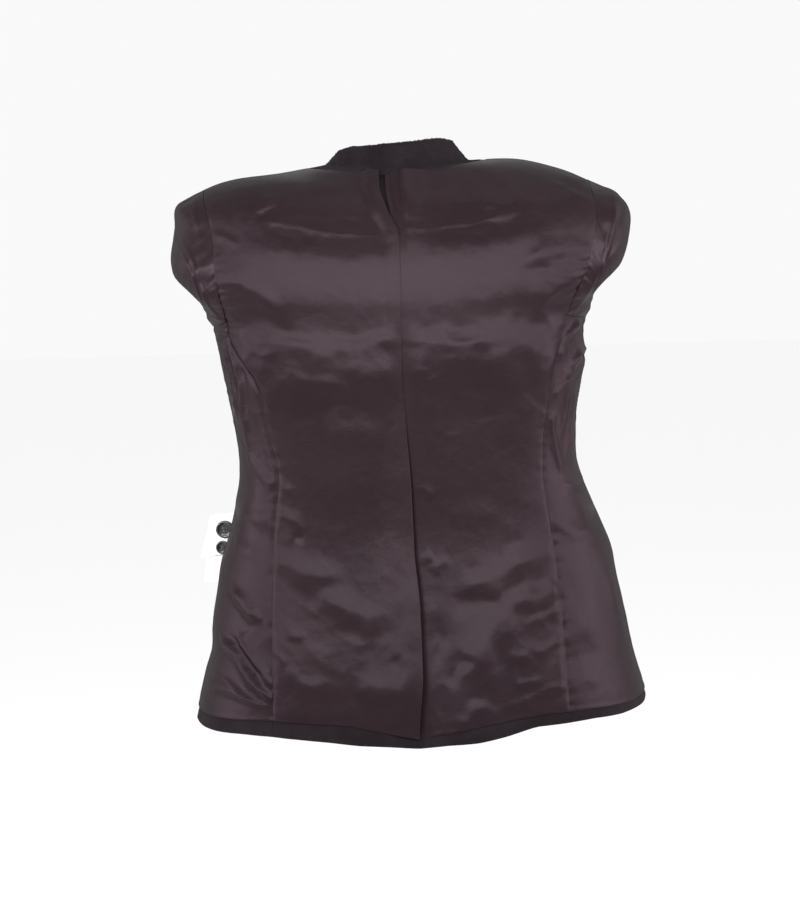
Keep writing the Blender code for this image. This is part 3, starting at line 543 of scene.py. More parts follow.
def rolledEdge(grid, normals, radius, turn=math.pi, under=0, steps=6):
    # Adds rows before the first one that turn the cloth in round a fold and carry it back underneath
    edge, normal = grid[0], normals[0]
    away = edge - grid[2]
    away = unit(away - normal * (away * normal).sum(axis=-1, keepdims=True))
    radius = (np.asarray(radius, float) * np.ones(len(edge)))[:, None] * mm
    middle = edge - normal * radius
    angles = np.linspace(0, turn, steps + 1)[1:]
    rows = [middle + radius * (normal * math.cos(angle) + away * math.sin(angle)) for angle in angles]
    if under:
        back = -away * math.cos(turn - math.pi) + normal * math.sin(turn - math.pi)
        rows += [rows[-1] + back * under * mm * share for share in (0.25, 0.5, 0.75, 1.0)]
    return np.concatenate([np.array(rows[::-1]), grid])


def swapped(grid):
    return np.swapaxes(grid, 0, 1)


def rolledSide(grid, facing, radius, last=False, **rest):
    # The same at the first or last column
    normals = gridNormals(grid) * facing
    if last:
        grid, normals = grid[:, ::-1], normals[:, ::-1]
    rolled = swapped(rolledEdge(swapped(grid), swapped(normals), radius, **rest))
    return rolled[:, ::-1] if last else rolled


def rolledFoot(grid, facing, radius, closed=False, **rest):
    return rolledEdge(grid, gridNormals(grid, closed) * facing, radius, **rest)


sharpFold = 60  # faces that meet at more degrees than this keep a hard edge


def shellFaces(rows, columns, closed):
    count = rows * columns
    index = np.arange(count).reshape(rows, columns)
    after = np.roll(index, -1, axis=1) if closed else index[:, 1:]
    here = index if closed else index[:, :-1]
    outside = np.stack([here[:-1], after[:-1], after[1:], here[1:]], axis=-1).reshape(-1, 4)
    inside = outside[:, ::-1] + count
    first = np.stack([here[0], here[0] + count, after[0] + count, after[0]], axis=-1)
    last = np.stack([after[-1], after[-1] + count, here[-1] + count, here[-1]], axis=-1)
    faces = [outside, inside, first, last]
    if not closed:
        low, high = index[:-1], index[1:]
        faces.append(np.stack([high[:, 0], high[:, 0] + count, low[:, 0] + count, low[:, 0]], axis=-1))
        faces.append(np.stack([low[:, -1], low[:, -1] + count, high[:, -1] + count, high[:, -1]], axis=-1))
    return np.concatenate(faces)


def flatMap(outer, faces, closed):
    # Lengths across and along the cloth at each face corner, and the size and area laid flat
    rows, columns = outer.shape[:2]
    ring = np.concatenate([outer, outer[:, :1]], axis=1) if closed else outer
    across = np.linalg.norm(np.diff(ring, axis=1), axis=-1)
    along = np.linalg.norm(np.diff(ring, axis=0), axis=-1)
    flatU = np.concatenate([np.zeros((rows, 1)), np.cumsum(across, axis=1)], axis=1)
    flatV = np.concatenate([np.zeros((1, ring.shape[1])), np.cumsum(along, axis=0)], axis=0)
    row, column = np.divmod(faces % (rows * columns), columns)
    past = (np.ptp(column, axis=1) > 1)[:, None] & (column == 0)
    column = np.where(past, columns, column)
    flat = np.stack([flatU[row, column], flatV[row, column]], axis=-1)
    cells = 0.25 * (across[1:] + across[:-1]) * (along[:, 1:] + along[:, :-1])
    return flat, (float(flatU[:, -1].max()), float(flatV[-1].max())), float(cells.sum())


def nodeOf(name):
    # The piece liningBackLeft stands for the node lining_back_left
    return "".join("_" + letter.lower() if letter.isupper() else letter for letter in name)


def makeSheet(name, outer, thick, finish, facing, node=None, closed=False):
    # A thin closed wall of cloth under a grid of outer points, with its length and width as a flat map. It
    # takes the place of its node.
    material, slot = finishes[finish]
    rows, columns = outer.shape[:2]
    wall = (thick * np.ones((rows, columns)) * mm)[..., None]
    inner = outer - gridNormals(outer, closed) * facing * wall
    faces = shellFaces(rows, columns, closed)
    if facing < 0:
        faces = faces[:, ::-1]
    points = np.concatenate([outer.reshape(-1, 3), inner.reshape(-1, 3)])
    flat, size, area = flatMap(outer, faces, closed)
    mesh = bpy.data.meshes.new(name)
    mesh.from_pydata(points.tolist(), [], faces.tolist())
    layer = mesh.uv_layers.new(name="clothGrain")
    layer.data.foreach_set("uv", flat.reshape(-1))
    mesh.materials.append(material)
    mesh.shade_smooth()
    mesh.set_sharp_from_angle(angle=math.radians(sharpFold))
    obj = bpy.data.objects.new(name, mesh)
    bpy.context.scene.collection.objects.link(obj)
    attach(obj, "root")
    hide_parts(node or nodeOf(name))


# Folds of the lining, the back and sides seen straight from behind and the fronts from in front. Each row
# gives its reach and height, how far it leans, how crisp it is, its open ends, and its points (x, z).
foldRows = {
    "backLeft": (
        (7, 0.81, 0, 1.4, "", (-163, -45), (-136, -50), (-96, -57), (-55, -64), (-21, -66), (3, -64)),
        (11, -0.9, 0, 2, "end", (-136, -61), (-97, -70), (-51, -77), (0, -77)),
        (4, 0.9, 0, 1.3, "", (-169, -48), (-158, -42), (-146, -29)),
        (4, -1.08, 0, 1.5, "", (-146, -51), (-129, -43), (-112, -34)),
        (4, 0.99, 0, 1.3, "", (-152, -47), (-133, -37), (-117, -28)),
        (5, 0.72, 0, 1.5, "", (-174, -20), (-147, -17), (-123, -17)),
        (13, 0.81, 0, 2, "", (-109, -54), (-87, -35), (-72, -20)),
        (9, 1.98, -0.4, 1.8, "start", (-181, -113), (-156, -116), (-134, -132), (-117, -152), (-109, -168)),
        (12, -0.8, 0, 2, "", (-162, -136), (-143, -147), (-128, -163)),
        (9, 1.4, 0.5, 1.7, "end", (-159, -176), (-126, -178), (-79, -180), (-7, -176)),
        (17, -0.1, 0, 2, "end", (-141, -194), (-90, -196), (-8, -194)),
        (14, 0.72, 0, 2, "end", (-102, -223), (-60, -225), (-8, -215)),
        (18, -0.72, 0, 2, "end", (-102, -240), (-61, -246), (-9, -251)),
        (5, 1.08, 0, 1.6, "start", (-190, -63), (-175, -67), (-160, -78)),
        (6, 1.23, 0, 1.6, "start end", (-158, -310), (-139, -322), (-117, -332)),
        (5, -1.0, 0, 2, "", (-145, -328), (-129, -339)),
        (5, 1.08, 0, 1.5, "start", (-126, -360), (-110, -366), (-97, -377)),
        (5, -1.08, 0, 2, "", (-115, -381), (-99, -385)),
        (13, 1.02, 0, 2, "", (-90, -264), (-51, -275), (-8, -280)),
        (14, -2.0, 0, 2, "end", (-168, -57), (-96, -58), (3, -62)),
        (11, 1.1, 0, 1.8, "", (-116, -208), (-70, -221), (-19, -230)),
        (10, -1.0, 0, 2, "", (-113, -223), (-71, -235), (-19, -246)),
        (30, 4.8, 0.25, 2, "start end", (-154, -201), (-101, -202), (0, -203)),
        (11, 2.0, 0.2, 1.8, "start", (-146, -408), (-118, -413), (-89, -423), (-55, -426)),
        (13, 2.7, 0.25, 1.8, "", (-98, -442), (-72, -451), (-46, -463), (-15, -486)),
        (9, 2.2, 0.3, 1.7, "", (-125, -508), (-113, -528), (-94, -535), (-73, -530)),
        (15, 2.0, 0.2, 1.8, "end", (-59, -541), (-32, -547), (-9, -545)),
        (6, -1.2, 0, 2, "", (-14, -503), (-8, -513), (-4, -524)),
        (5, 1.0, 0, 1.7, "", (-127, -481), (-114, -485), (-101, -480)),
        (3, 1.2, 0, 1.4, "", (-106, -573), (-87, -578), (-60, -580), (-24, -588)),
        (4, 1.3, 0, 1.6, "start", (-141, -504), (-130, -510), (-124, -520)),
        (42, 2.2, 0, 2, "start end", (-145, -515), (-79, -526), (-8, -528)),
        (8, 0.77, 0, 1.8, "", (-118, -351), (-117, -374), (-113, -398)),
        (3.0, 0.5, 0, 1.4, "end", (-154, -47), (-122, -55), (-86, -62), (-45, -66), (3, -65)),
        (4, -0.9, 0, 1.6, "", (-110, -30), (-127, -41), (-145, -52)),
        (2.6, 0.7, 0, 1.4, "", (-135, -18), (-150, -33), (-167, -46)),
        (2.6, 0.6, 0, 1.4, "", (-119, -21), (-133, -31), (-151, -45)),
        (5, 1.0, 0, 1.6, "start", (-157, -181), (-141, -188), (-121, -186)),
        (6, 0.7, 0, 1.8, "", (-153, -176), (-126, -173), (-100, -176)),
        (16, 1.3, 0, 2, "", (-142, -221), (-102, -227), (-55, -229)),
    ),
    "sideLeft": (
        (4.5, 5.7, 0.3, 1.6, "end", (-198, -487), (-180, -509), (-163, -532), (-144, -552)),
        (4, -3.51, 0, 2, "", (-188, -488), (-171, -509), (-151, -534)),
        (4, 3.95, 0, 1.6, "end", (-179, -487), (-163, -511), (-142, -538)),
        (8, -3.51, 0, 2, "", (-194, -452), (-179, -468), (-163, -487)),
        (8, 4.39, 0, 1.8, "", (-186, -440), (-169, -455), (-148, -474)),
        (5, 3.39, 0, 1.6, "start", (-174, -182), (-167, -223), (-162, -270), (-158, -312)),
        (4, 2.64, 0, 1.6, "start", (-180, -184), (-175, -228), (-169, -273)),
        (4, 2.26, 0, 1.5, "start", (-166, -180), (-155, -215), (-147, -242)),
        (6, 2.83, 0, 1.7, "end", (-163, -294), (-151, -311), (-137, -326)),
        (9, 1.56, 0, 2, "end", (-190, -346), (-167, -358), (-145, -366)),
        (5, 2.64, 0, 1.6, "", (-210, -530), (-188, -543), (-151, -559)),
        (3, 1.98, 0, 1.4, "end", (-215, -553), (-183, -551), (-145, -561)),
        (8, 1.69, 0, 2, "", (-180, -388), (-167, -400), (-148, -403)),
    ),
    "backRight": (
        (6, 0.9, 0, 1.4, "start", (10, -65), (54, -59), (82, -56), (109, -50), (154, -45)),
        (9, -0.9, 0, 2, "", (37, -71), (88, -68), (130, -61), (175, -54)),
        (5, -0.81, 0, 2, "", (64, -54), (86, -50), (112, -46)),
        (8, 2.0, 0.3, 1.8, "", (87, -39), (109, -42), (132, -44)),
        (6, -1.08, 0, 2, "", (75, -19), (97, -17), (118, -23)),
        (5, 0.99, 0, 1.6, "end", (139, -17), (173, -27), (206, -43)),
        (4, -0.9, 0, 1.8, "end", (158, -18), (184, -23), (213, -38)),
        (4, 0.81, 0, 1.5, "end", (174, -14), (201, -22), (224, -35)),
        (4, 0.81, 0, 1.6, "", (19, -42), (33, -38)),
        (9, 1.62, 0, 1.9, "end", (126, -105), (148, -93), (172, -88), (205, -92)),
        (7, -1.17, 0, 2, "", (123, -114), (144, -108), (165, -107)),
        (9, 2.25, 0.5, 1.7, "start", (196, -114), (172, -124), (154, -140), (141, -156), (124, -169)),
        (11, -1.44, 0, 2, "start", (200, -132), (176, -144), (159, -161), (145, -179)),
        (9, 1.4, -0.5, 1.7, "start", (5, -177), (54, -180), (96, -179), (132, -172)),
        (17, -0.1, 0, 2, "start", (5, -192), (54, -196), (106, -194), (140, -187)),
        (2.6, 0.5, 0, 1.4, "", (19, -229), (31, -218), (42, -210)),
        (2.4, -0.4, 0, 2, "", (24, -235), (36, -227), (45, -223)),
        (2.6, 0.4, 0, 1.4, "", (6, -209), (21, -206), (35, -207)),
        (14, 0.78, 0, 2, "", (55, -238), (90, -228), (127, -218)),
        (14, -0.78, 0, 2, "", (38, -261), (84, -254), (131, -242)),
        (2.2, 0.32, 0, 1.4, "", (44, -278), (54, -278), (67, -280)),
        (2.4, 0.2, 0, 1.5, "", (38, -288), (45, -316)),
        (2.4, 0.2, 0, 1.5, "", (61, -290), (45, -316)),
        (5, 1.0, 0, 1.7, "start", (11, -334), (24, -335), (36, -344)),
        (14, -2.0, 0, 2, "start", (10, -62), (78, -57), (173, -47)),
        (14, -0.5, 0, 2, "", (72, -325), (103, -348), (124, -371)),
        (30, 4.8, 0.25, 2, "start end", (5, -198), (75, -198), (149, -188)),
        (12, 0.5, 0, 1.8, "", (36, -356), (71, -362), (113, -361)),
        (14, 3.2, 0.25, 1.8, "end", (55, -444), (84, -431), (112, -418), (153, -405)),
        (14, 3.8, 0.3, 1.8, "end", (57, -542), (72, -513), (87, -489), (106, -468), (129, -454), (158, -447)),
        (6, 1.3, 0, 1.7, "end", (120, -484), (136, -474), (165, -468)),
        (5, 1.4, 0, 1.6, "end", (132, -509), (152, -502), (168, -498)),
        (7, 1.0, 0, 1.8, "", (103, -507), (118, -513), (133, -508)),
        (5, 1.1, 0, 1.6, "", (110, -539), (127, -539), (143, -534)),
        (6, 1.4, 0, 1.7, "end", (98, -568), (124, -558), (147, -550), (167, -548)),
        (8, 2.0, -0.3, 1.7, "", (75, -548), (68, -568), (58, -587)),
        (7, -1.6, 0, 2, "", (43, -539), (55, -518), (67, -502)),
        (6, 1.2, 0, 1.8, "start", (12, -408), (22, -406), (33, -401)),
        (8, 0.6, 0, 1.8, "", (17, -444), (27, -463), (24, -491)),
        (6, -1.0, 0, 2, "", (34, -460), (37, -492), (28, -525)),
        (45, 3.0, 0, 2, "end", (55, -499), (105, -507), (167, -517)),
        (9, 1.4, 0, 1.8, "start", (17, -30), (38, -30), (71, -21)),
        (3.0, 0.5, 0, 1.4, "start", (10, -65), (47, -62), (74, -58), (131, -50), (173, -46)),
        (12, -1.4, 0, 2, "", (46, -456), (71, -451), (95, -438)),
        (14, -1.2, 0, 2, "start", (9, -448), (20, -491), (23, -544)),
        (7, 0.9, 0, 1.8, "", (28, -422), (39, -413), (51, -408)),
        (16, 1.0, 0, 2, "", (34, -190), (75, -196), (117, -192)),
    ),
    "sideRight": (
        (5, 4.9, 0.3, 1.5, "start", (169, -199), (178, -178), (197, -161)),
        (4, -3.02, 0, 2, "", (180, -198), (190, -181), (204, -172)),
        (5, 4.34, 0, 1.5, "", (176, -221), (189, -204), (203, -193)),
        (4, 3.39, 0, 1.5, "start", (165, -239), (176, -227), (190, -220)),
        (5, 3.39, 0, 1.6, "", (172, -204), (176, -248), (170, -292)),
        (5, 3.02, 0, 1.6, "", (186, -226), (181, -270), (175, -322)),
        (4, 2.26, 0, 1.6, "start", (160, -266), (166, -306), (174, -335)),
        (6, 2.26, 0, 1.8, "", (163, -330), (181, -341), (203, -337)),
        (11, 1.3, 0, 1.9, "start", (158, -503), (181, -493), (210, -490)),
        (9, -0.8, 0, 2, "start", (162, -527), (187, -518), (214, -517)),
        (9, 1.2, 0, 1.9, "start", (159, -552), (181, -545), (213, -544)),
        (12, 1.95, 0, 2, "", (211, -419), (226, -469), (237, -520)),
        (9, 1.3, 0, 2, "start", (158, -374), (183, -389), (211, -389)),
    ),
    "frontLeft": (
        (9, 1.9, 0.3, 1.8, "start", (-181, -112), (-163, -140), (-140, -168), (-118, -178)),
        (11, -1.4, 0, 2, "", (-172, -150), (-150, -180), (-122, -196)),
        (5, 1.5, 0, 1.6, "start", (-176, -182), (-170, -226), (-160, -268)),
        (4, 1.2, 0, 1.5, "", (-164, -190), (-156, -228), (-142, -262)),
        (13, 1.7, 0, 2, "end", (-166, -300), (-140, -314), (-106, -318)),
        (8, -1.3, 0, 2, "", (-160, -326), (-136, -338), (-112, -340)),
        (9, 2.0, 0, 1.9, "start", (-190, -398), (-166, -414), (-134, -424)),
        (8, -1.6, 0, 2, "", (-186, -424), (-160, -441), (-132, -448)),
        (10, 2.4, 0, 1.9, "", (-196, -468), (-172, -492), (-138, -507)),
        (7, 1.7, 0, 1.8, "end", (-182, -521), (-156, -539), (-124, -549)),
        (7, -1.4, 0, 2, "", (-190, -545), (-160, -557), (-130, -563)),
        (6, 1.0, 0, 1.6, "end", (-152, -60), (-128, -72), (-104, -77)),
    ),
    "frontRight": (
        (10, 2.1, -0.3, 1.8, "start", (184, -104), (166, -134), (142, -160), (120, -171)),
        (11, -1.4, 0, 2, "", (176, -143), (152, -172), (124, -190)),
        (5, 1.6, 0, 1.6, "start", (178, -178), (174, -224), (166, -270)),
        (4, 1.2, 0, 1.5, "", (166, -196), (160, -236), (150, -266)),
        (12, 1.6, 0, 2, "end", (170, -296), (144, -306), (108, -322)),
        (9, -1.3, 0, 2, "", (164, -322), (140, -331), (114, -344)),
        (10, 2.2, 0, 1.9, "start", (198, -404), (170, -410), (138, -428)),
        (8, -1.5, 0, 2, "", (194, -428), (166, -436), (138, -452)),
        (11, 2.4, 0, 1.9, "", (206, -462), (180, -486), (146, -498)),
        (7, 1.8, 0, 1.8, "end", (192, -516), (164, -530), (132, -546)),
        (7, -1.4, 0, 2, "", (200, -541), (170, -551), (138, -564)),
        (6, 1.0, 0, 1.6, "end", (156, -56), (132, -66), (106, -78)),
    ),
}
print("folds placed")


def addNode(tree, kind, inputs=(), **settings):
    # A shader node. Inputs are pairs of a socket and its value, or the output joined to it.
    made = tree.nodes.new("ShaderNode" + kind)
    for name, value in settings.items():
        setattr(made, name, value)
    for socket, value in inputs:
        if isinstance(value, bpy.types.NodeSocket):
            tree.links.new(value, made.inputs[socket])
        else:
            made.inputs[socket].default_value = value
    return made


def startMaterial(name, look):
    material = bpy.data.materials.new(name)
    material.use_nodes = True
    tree = material.node_tree
    shader = tree.nodes["Principled BSDF"]
    for socket, value in look["shader"].items():
        shader.inputs[socket].default_value = value
    return material, tree, shader


def spread(tree, value, low, high, fromLow=0.0, fromHigh=1.0):
    inputs = (("Value", value), ("From Min", fromLow), ("From Max", fromHigh))
    inputs += (("To Min", low), ("To Max", high))
    return addNode(tree, "MapRange", inputs).outputs["Result"]


def mixed(tree, share, first, second, blend="MIX"):
    # Colour sockets of the mix node are its sixth and seventh, and its third output
    made = addNode(tree, "Mix", ((0, share),), data_type="RGBA", blend_type=blend)
    for socket, value in ((6, first), (7, second)):
        if isinstance(value, bpy.types.NodeSocket):
            tree.links.new(value, made.inputs[socket])
        else:
            made.inputs[socket].default_value = (*value, 1)
    return made.outputs[2]


# Cloths: colours, sizes of what shows in them in millimetres, and how high each stands
satin = {
    "deep": (0.0082, 0.0046, 0.0057), "worn": (0.0100, 0.0058, 0.0068), "patch": 90,
    "weave": 0.38, "weaveHigh": 0.020, "slant": 0.0,
    "threadLong": 11.0, "threadWide": 0.8, "threadHigh": 0.045, "threadShade": 0.16,
    "crumple": 7.0, "crumpleHigh": 0.20, "rough": (0.34, 0.39), "gloss": (0.105, 0.0),
    "shader": {"Specular Tint": (1.0, 0.84, 0.97, 1), "Anisotropic": 0.65},
}
wool = {
    "deep": (0.0052, 0.0034, 0.0046), "worn": (0.0080, 0.0054, 0.0068), "patch": 30,
    "weave": 0.9, "weaveHigh": 0.12, "slant": 0.9,
    "threadLong": 4.0, "threadWide": 0.5, "threadHigh": 0.10, "threadShade": 0.35,
    "crumple": 12.0, "crumpleHigh": 0.15, "rough": (0.8, 0.92), "gloss": (0.08, 0.01),
    "shader": {"Sheen Weight": 0.03, "Sheen Roughness": 0.45, "Sheen Tint": (0.9, 0.82, 1.0, 1)},
}
tape = {
    "deep": (0.74, 0.72, 0.72), "worn": (0.81, 0.79, 0.78), "patch": 20,
    "weave": 0.30, "weaveHigh": 0.03, "slant": 0.0,
    "threadLong": 6.0, "threadWide": 0.5, "threadHigh": 0.03, "threadShade": 0.05,
    "crumple": 5.0, "crumpleHigh": 0.12, "rough": (0.38, 0.48), "gloss": (0.5, 0.4),
    "shader": {"Sheen Weight": 0.2},
}
waveLength = 0.314  # distance between the stripes of a wave texture of scale 1
noiseContrast = (0.35, 0.65)  # a noise texture seldom leaves this range
glossTurn = (0.4, 0.95)  # how far a cloth turns away while it loses its gloss


def clouds(tree, place, scale, detail):
    inputs = (("Vector", place), ("Scale", scale), ("Detail", detail))
    return addNode(tree, "TexNoise", inputs).outputs["Fac"]


def stretchedClouds(tree, place, sizes, detail):
    # Noise drawn out along its threads, with its sizes in millimetres
    scale = tuple(1 / (size * mm) if size else 1 for size in sizes)
    pulled = addNode(tree, "Mapping", (("Vector", place), ("Scale", scale))).outputs[0]
    return clouds(tree, pulled, 1.0, detail)


def addBump(tree, height, high, under=None):
    # High is in millimetres, and under is the bump that this one lies on
    inputs = (("Height", height), ("Strength", 1.0), ("Distance", high * mm))
    if under:
        inputs += (("Normal", under),)
    return addNode(tree, "Bump", inputs).outputs["Normal"]


def makeCloth(name, look):
    material, tree, shader = startMaterial(name, look)
    grain = addNode(tree, "UVMap", uv_map="clothGrain").outputs["UV"]
    place = addNode(tree, "TexCoord").outputs["Object"]
    turned = addNode(tree, "Mapping", (("Vector", grain), ("Rotation", (0, 0, look["slant"])))).outputs[0]
    weave = addNode(tree, "TexWave", (
        ("Vector", turned), ("Scale", waveLength / (look["weave"] * mm)),
        ("Distortion", 1.6), ("Detail", 1.0), ("Detail Scale", 0.4),
    ), bands_direction="Y").outputs["Fac"]
    threads = stretchedClouds(tree, grain, (look["threadLong"], look["threadWide"], 0), 2.0)
    crumple = clouds(tree, place, 1 / (look["crumple"] * mm), 3.0)
    patch = clouds(tree, place, 1 / (look["patch"] * mm), 2.0)
    tone = mixed(tree, spread(tree, patch, 0.0, 1.0, *noiseContrast), look["deep"], look["worn"])
    shade = spread(tree, threads, 1 - look["threadShade"], 1 + look["threadShade"], *noiseContrast)
    tree.links.new(mixed(tree, 1.0, tone, shade, "MULTIPLY"), shader.inputs["Base Color"])
    tree.links.new(spread(tree, threads, *look["rough"], *noiseContrast), shader.inputs["Roughness"])
    # Cloth loses its gloss where it turns away, as its threads stand in each other's way
    turnedAway = addNode(tree, "LayerWeight", (("Blend", 0.5),)).outputs["Facing"]
    gloss = spread(tree, turnedAway, *look["gloss"], *glossTurn)
    tree.links.new(gloss, shader.inputs["Specular IOR Level"])
    bump = addBump(tree, crumple, look["crumpleHigh"])
    bump = addBump(tree, threads, look["threadHigh"], bump)
    bump = addBump(tree, weave, look["weaveHigh"], bump)
    tree.links.new(bump, shader.inputs["Normal"])
    return material


# Hard plastic of the buttons, with faint streaks, and the thread that holds them. Streaks have a length, a
# width and a depth.
plastic = {
    "deep": (0.005, 0.0047, 0.0055), "worn": (0.012, 0.011, 0.012), "streak": (27.0, 3.0, 3.0), "dent": 0.05,
    "shader": {"Roughness": 0.24, "Specular IOR Level": 0.55, "Coat Weight": 0.25, "Coat Roughness": 0.12},
}
sewing = {
    "deep": (0.012, 0.011, 0.013), "worn": (0.030, 0.027, 0.030), "streak": (0.25, 0.25, 0.25), "dent": 0.04,
    "shader": {"Roughness": 0.6, "Specular IOR Level": 0.4, "Sheen Weight": 0.3},
}


def makeStreaked(name, look):
    material, tree, shader = startMaterial(name, look)
    streak = stretchedClouds(tree, addNode(tree, "TexCoord").outputs["Object"], look["streak"], 3.0)
    tone = mixed(tree, spread(tree, streak, 0.0, 1.0, *noiseContrast), look["deep"], look["worn"])
    tree.links.new(tone, shader.inputs["Base Color"])
    tree.links.new(addBump(tree, streak, look["dent"]), shader.inputs["Normal"])
    return material


# Each cloth's finish and its material slot
finishes = {
    "satin": (makeCloth("liningSatin", satin), "lining_satin"),
    "wool": (makeCloth("blackWool", wool), "wool"),
    "tape": (makeCloth("labelTape", tape), "label_tape"),
}
buttonPlastic = makeStreaked("buttonPlastic", plastic)
buttonThread = makeStreaked("buttonThread", sewing)
print("cloth, plastic and thread finishes made")


def unevenShares(count, bunch=0.55):
    # Shares of a width, closer together towards both ends
    share = np.linspace(0, 1, count)
    return share - bunch * np.sin(2 * math.pi * share) / (2 * math.pi)


def walked(grid):
    # Length along each column from its first row, in millimetres
    steps = np.linalg.norm(np.diff(grid, axis=0), axis=-1) / mm
    return np.concatenate([np.zeros((1, grid.shape[1])), np.cumsum(steps, axis=0)])


walkSteps = 300  # steps along a panel from which its rows are spaced evenly


def panelGrid(side, first, last, low, high, rows, shares):
    # A panel between two seams, given as places at seamLevels, and two levels, which may be arrays
    low, high = low * np.ones(len(shares)), high * np.ones(len(shares))
    fine = np.linspace(low.mean(), high.mean(), walkSteps)
    middle = 0.5 * (np.interp(fine, seamLevels, first) + np.interp(fine, seamLevels, last))
    length = walked(bodyPoint(middle, fine)[:, None])[:, 0]
    levels = np.interp(np.linspace(0, length[-1], rows), length, fine)
    rowShare = ((levels - levels[0]) / (levels[-1] - levels[0]))[:, None]
    level = low + (high - low) * rowShare
    start, end = np.interp(level, seamLevels, first), np.interp(level, seamLevels, last)
    inset = 0.5 * cloth["seamGap"] * np.sign(end - start) / quarterLength(0.5 * (start + end), level)
    place = start + inset + (end - start - 2 * inset) * shares
    base = bodyPoint(place, level)
    across, along = swapped(walked(swapped(base))), walked(base)
    return {
        "side": side, "place": place, "level": level, "base": base, "normal": bodyNormal(place, level),
        "x": base[..., 0] / mm, "z": base[..., 2] / mm, "u": unrolled(place, level),
        "fromFirst": across, "fromLast": across[:, -1:] - across,
        "fromLow": along, "fromHigh": along[-1:] - along,
    }


def raised(grid, relief, depth=0.0):
    return grid["base"] + grid["normal"] * ((relief - depth) * mm)[..., None]


# Tight small puckers along an armhole: their middle height, reach up and down, and strength
armholeKnots = {-1: (-142, 36, 3.0), 1: (-118, 24, 2.4)}

# Small crumples of the lining, more of them towards the hem and beside the armholes. Swells, falling and
# rising creases and the fine ones have a height and a size each.
crumples = {
    "all": 0.20, "hem": 1.0, "hemTop": -360, "hemReach": 110,
    "arm": 1.50, "armX": 190, "armZ": -215, "armReachX": 50, "armReachZ": 90,
    "swell": (1.1, 62), "smallSwell": (0.45, 27), "falling": (0.5, 34), "rising": (0.35, 30), "sunk": 0.3,
    "fine": (0.09, 12),
}
# Short folds that run out from a gathered seam: heights, width, reach, and how unevenly they lie
gathering = {"high": 1.6, "capHigh": 0.45, "wide": 9.0, "reach": 8, "start": 0.3, "rise": 4,
             "uneven": 2.2, "unevenSize": 21}
# Relief is calmed within a reach of a seam, less so at the armhole's knots
seamCalm = {"least": 0.25, "knotted": 0.6, "reach": 14}
# The armhole's seam starts this many levels below the underarm, and shows this much above and at its knots
armholeSeam = {"below": 0.8, "hidden": 0.06, "knotted": 1.15}
# The lining's lower edge: its roll and turn, and the spare length that lies above it
liningEdge = {
    "lowest": -1.7, "footRoll": 0.8, "footTurn": 0.9, "footLift": 0.4, "footReach": 6, "level": 0.2,
    "spare": 0.3, "spareAt": 11, "spareReach": 8, "spareUneven": 0.35, "spareSize": 40,
}

# Height of the lining's lower edge above the hem, as (x, height)
liningFoot = ((-260, 26), (-203, 24), (-150, 28), (-61, 25), (-20, 17), (12, 12), (47, 17), (83, 23),
              (150, 29), (194, 29), (238, 26), (270, 27))


def footLevels(first, last, shares):
    level = liningEdge["level"]
    place = np.interp(level, seamLevels, first) + np.interp(level, seamLevels, last - first) * shares
    x = bodyPoint(place, level)[:, 0] / mm
    return levelOfHeight(place, bodyRings["hem"][0] + tableAt(liningFoot, x))


def crumpleRelief(u, z, x, seed):
    gain = 1 + crumples["hem"] * smooth((crumples["hemTop"] - z) / crumples["hemReach"])
    farX = (np.abs(x) - crumples["armX"]) / crumples["armReachX"]
    farZ = (z - crumples["armZ"]) / crumples["armReachZ"]
    gain = crumples["all"] * gain + crumples["arm"] * np.exp(-farX ** 2 - farZ ** 2)
    high, size = crumples["swell"]
    relief = high * softNoise(u, z, size, seed) - crumples["sunk"]
    high, size = crumples["smallSwell"]
    relief = relief + high * softNoise(u + 0.4 * z, z, size, seed + 1)
    high, size = crumples["falling"]
    relief = relief + high * creases(0.8 * u + 0.6 * z, 0.36 * z - 0.27 * u, size, seed + 2)
    high, size = crumples["rising"]
    relief = relief + high * creases(0.7 * u - 0.7 * z, 0.28 * z + 0.28 * u, size, seed + 3)
    high, size = crumples["fine"]
    fine = softNoise(u, z, size, seed + 4) + 0.45 * softNoise(u - 0.3 * z, z, 0.5 * size, seed + 5)
    return gain * relief + high * fine


def gathers(along, away, high, seed):
    uneven = gathering["uneven"] * softNoise(along, 0.6 * away, gathering["unevenSize"], seed)
    wave = np.sin(2 * math.pi * along / gathering["wide"] + uneven)
    fade = np.exp(-away / gathering["reach"]) * smooth(gathering["start"] + away / gathering["rise"])
    return high * wave * fade


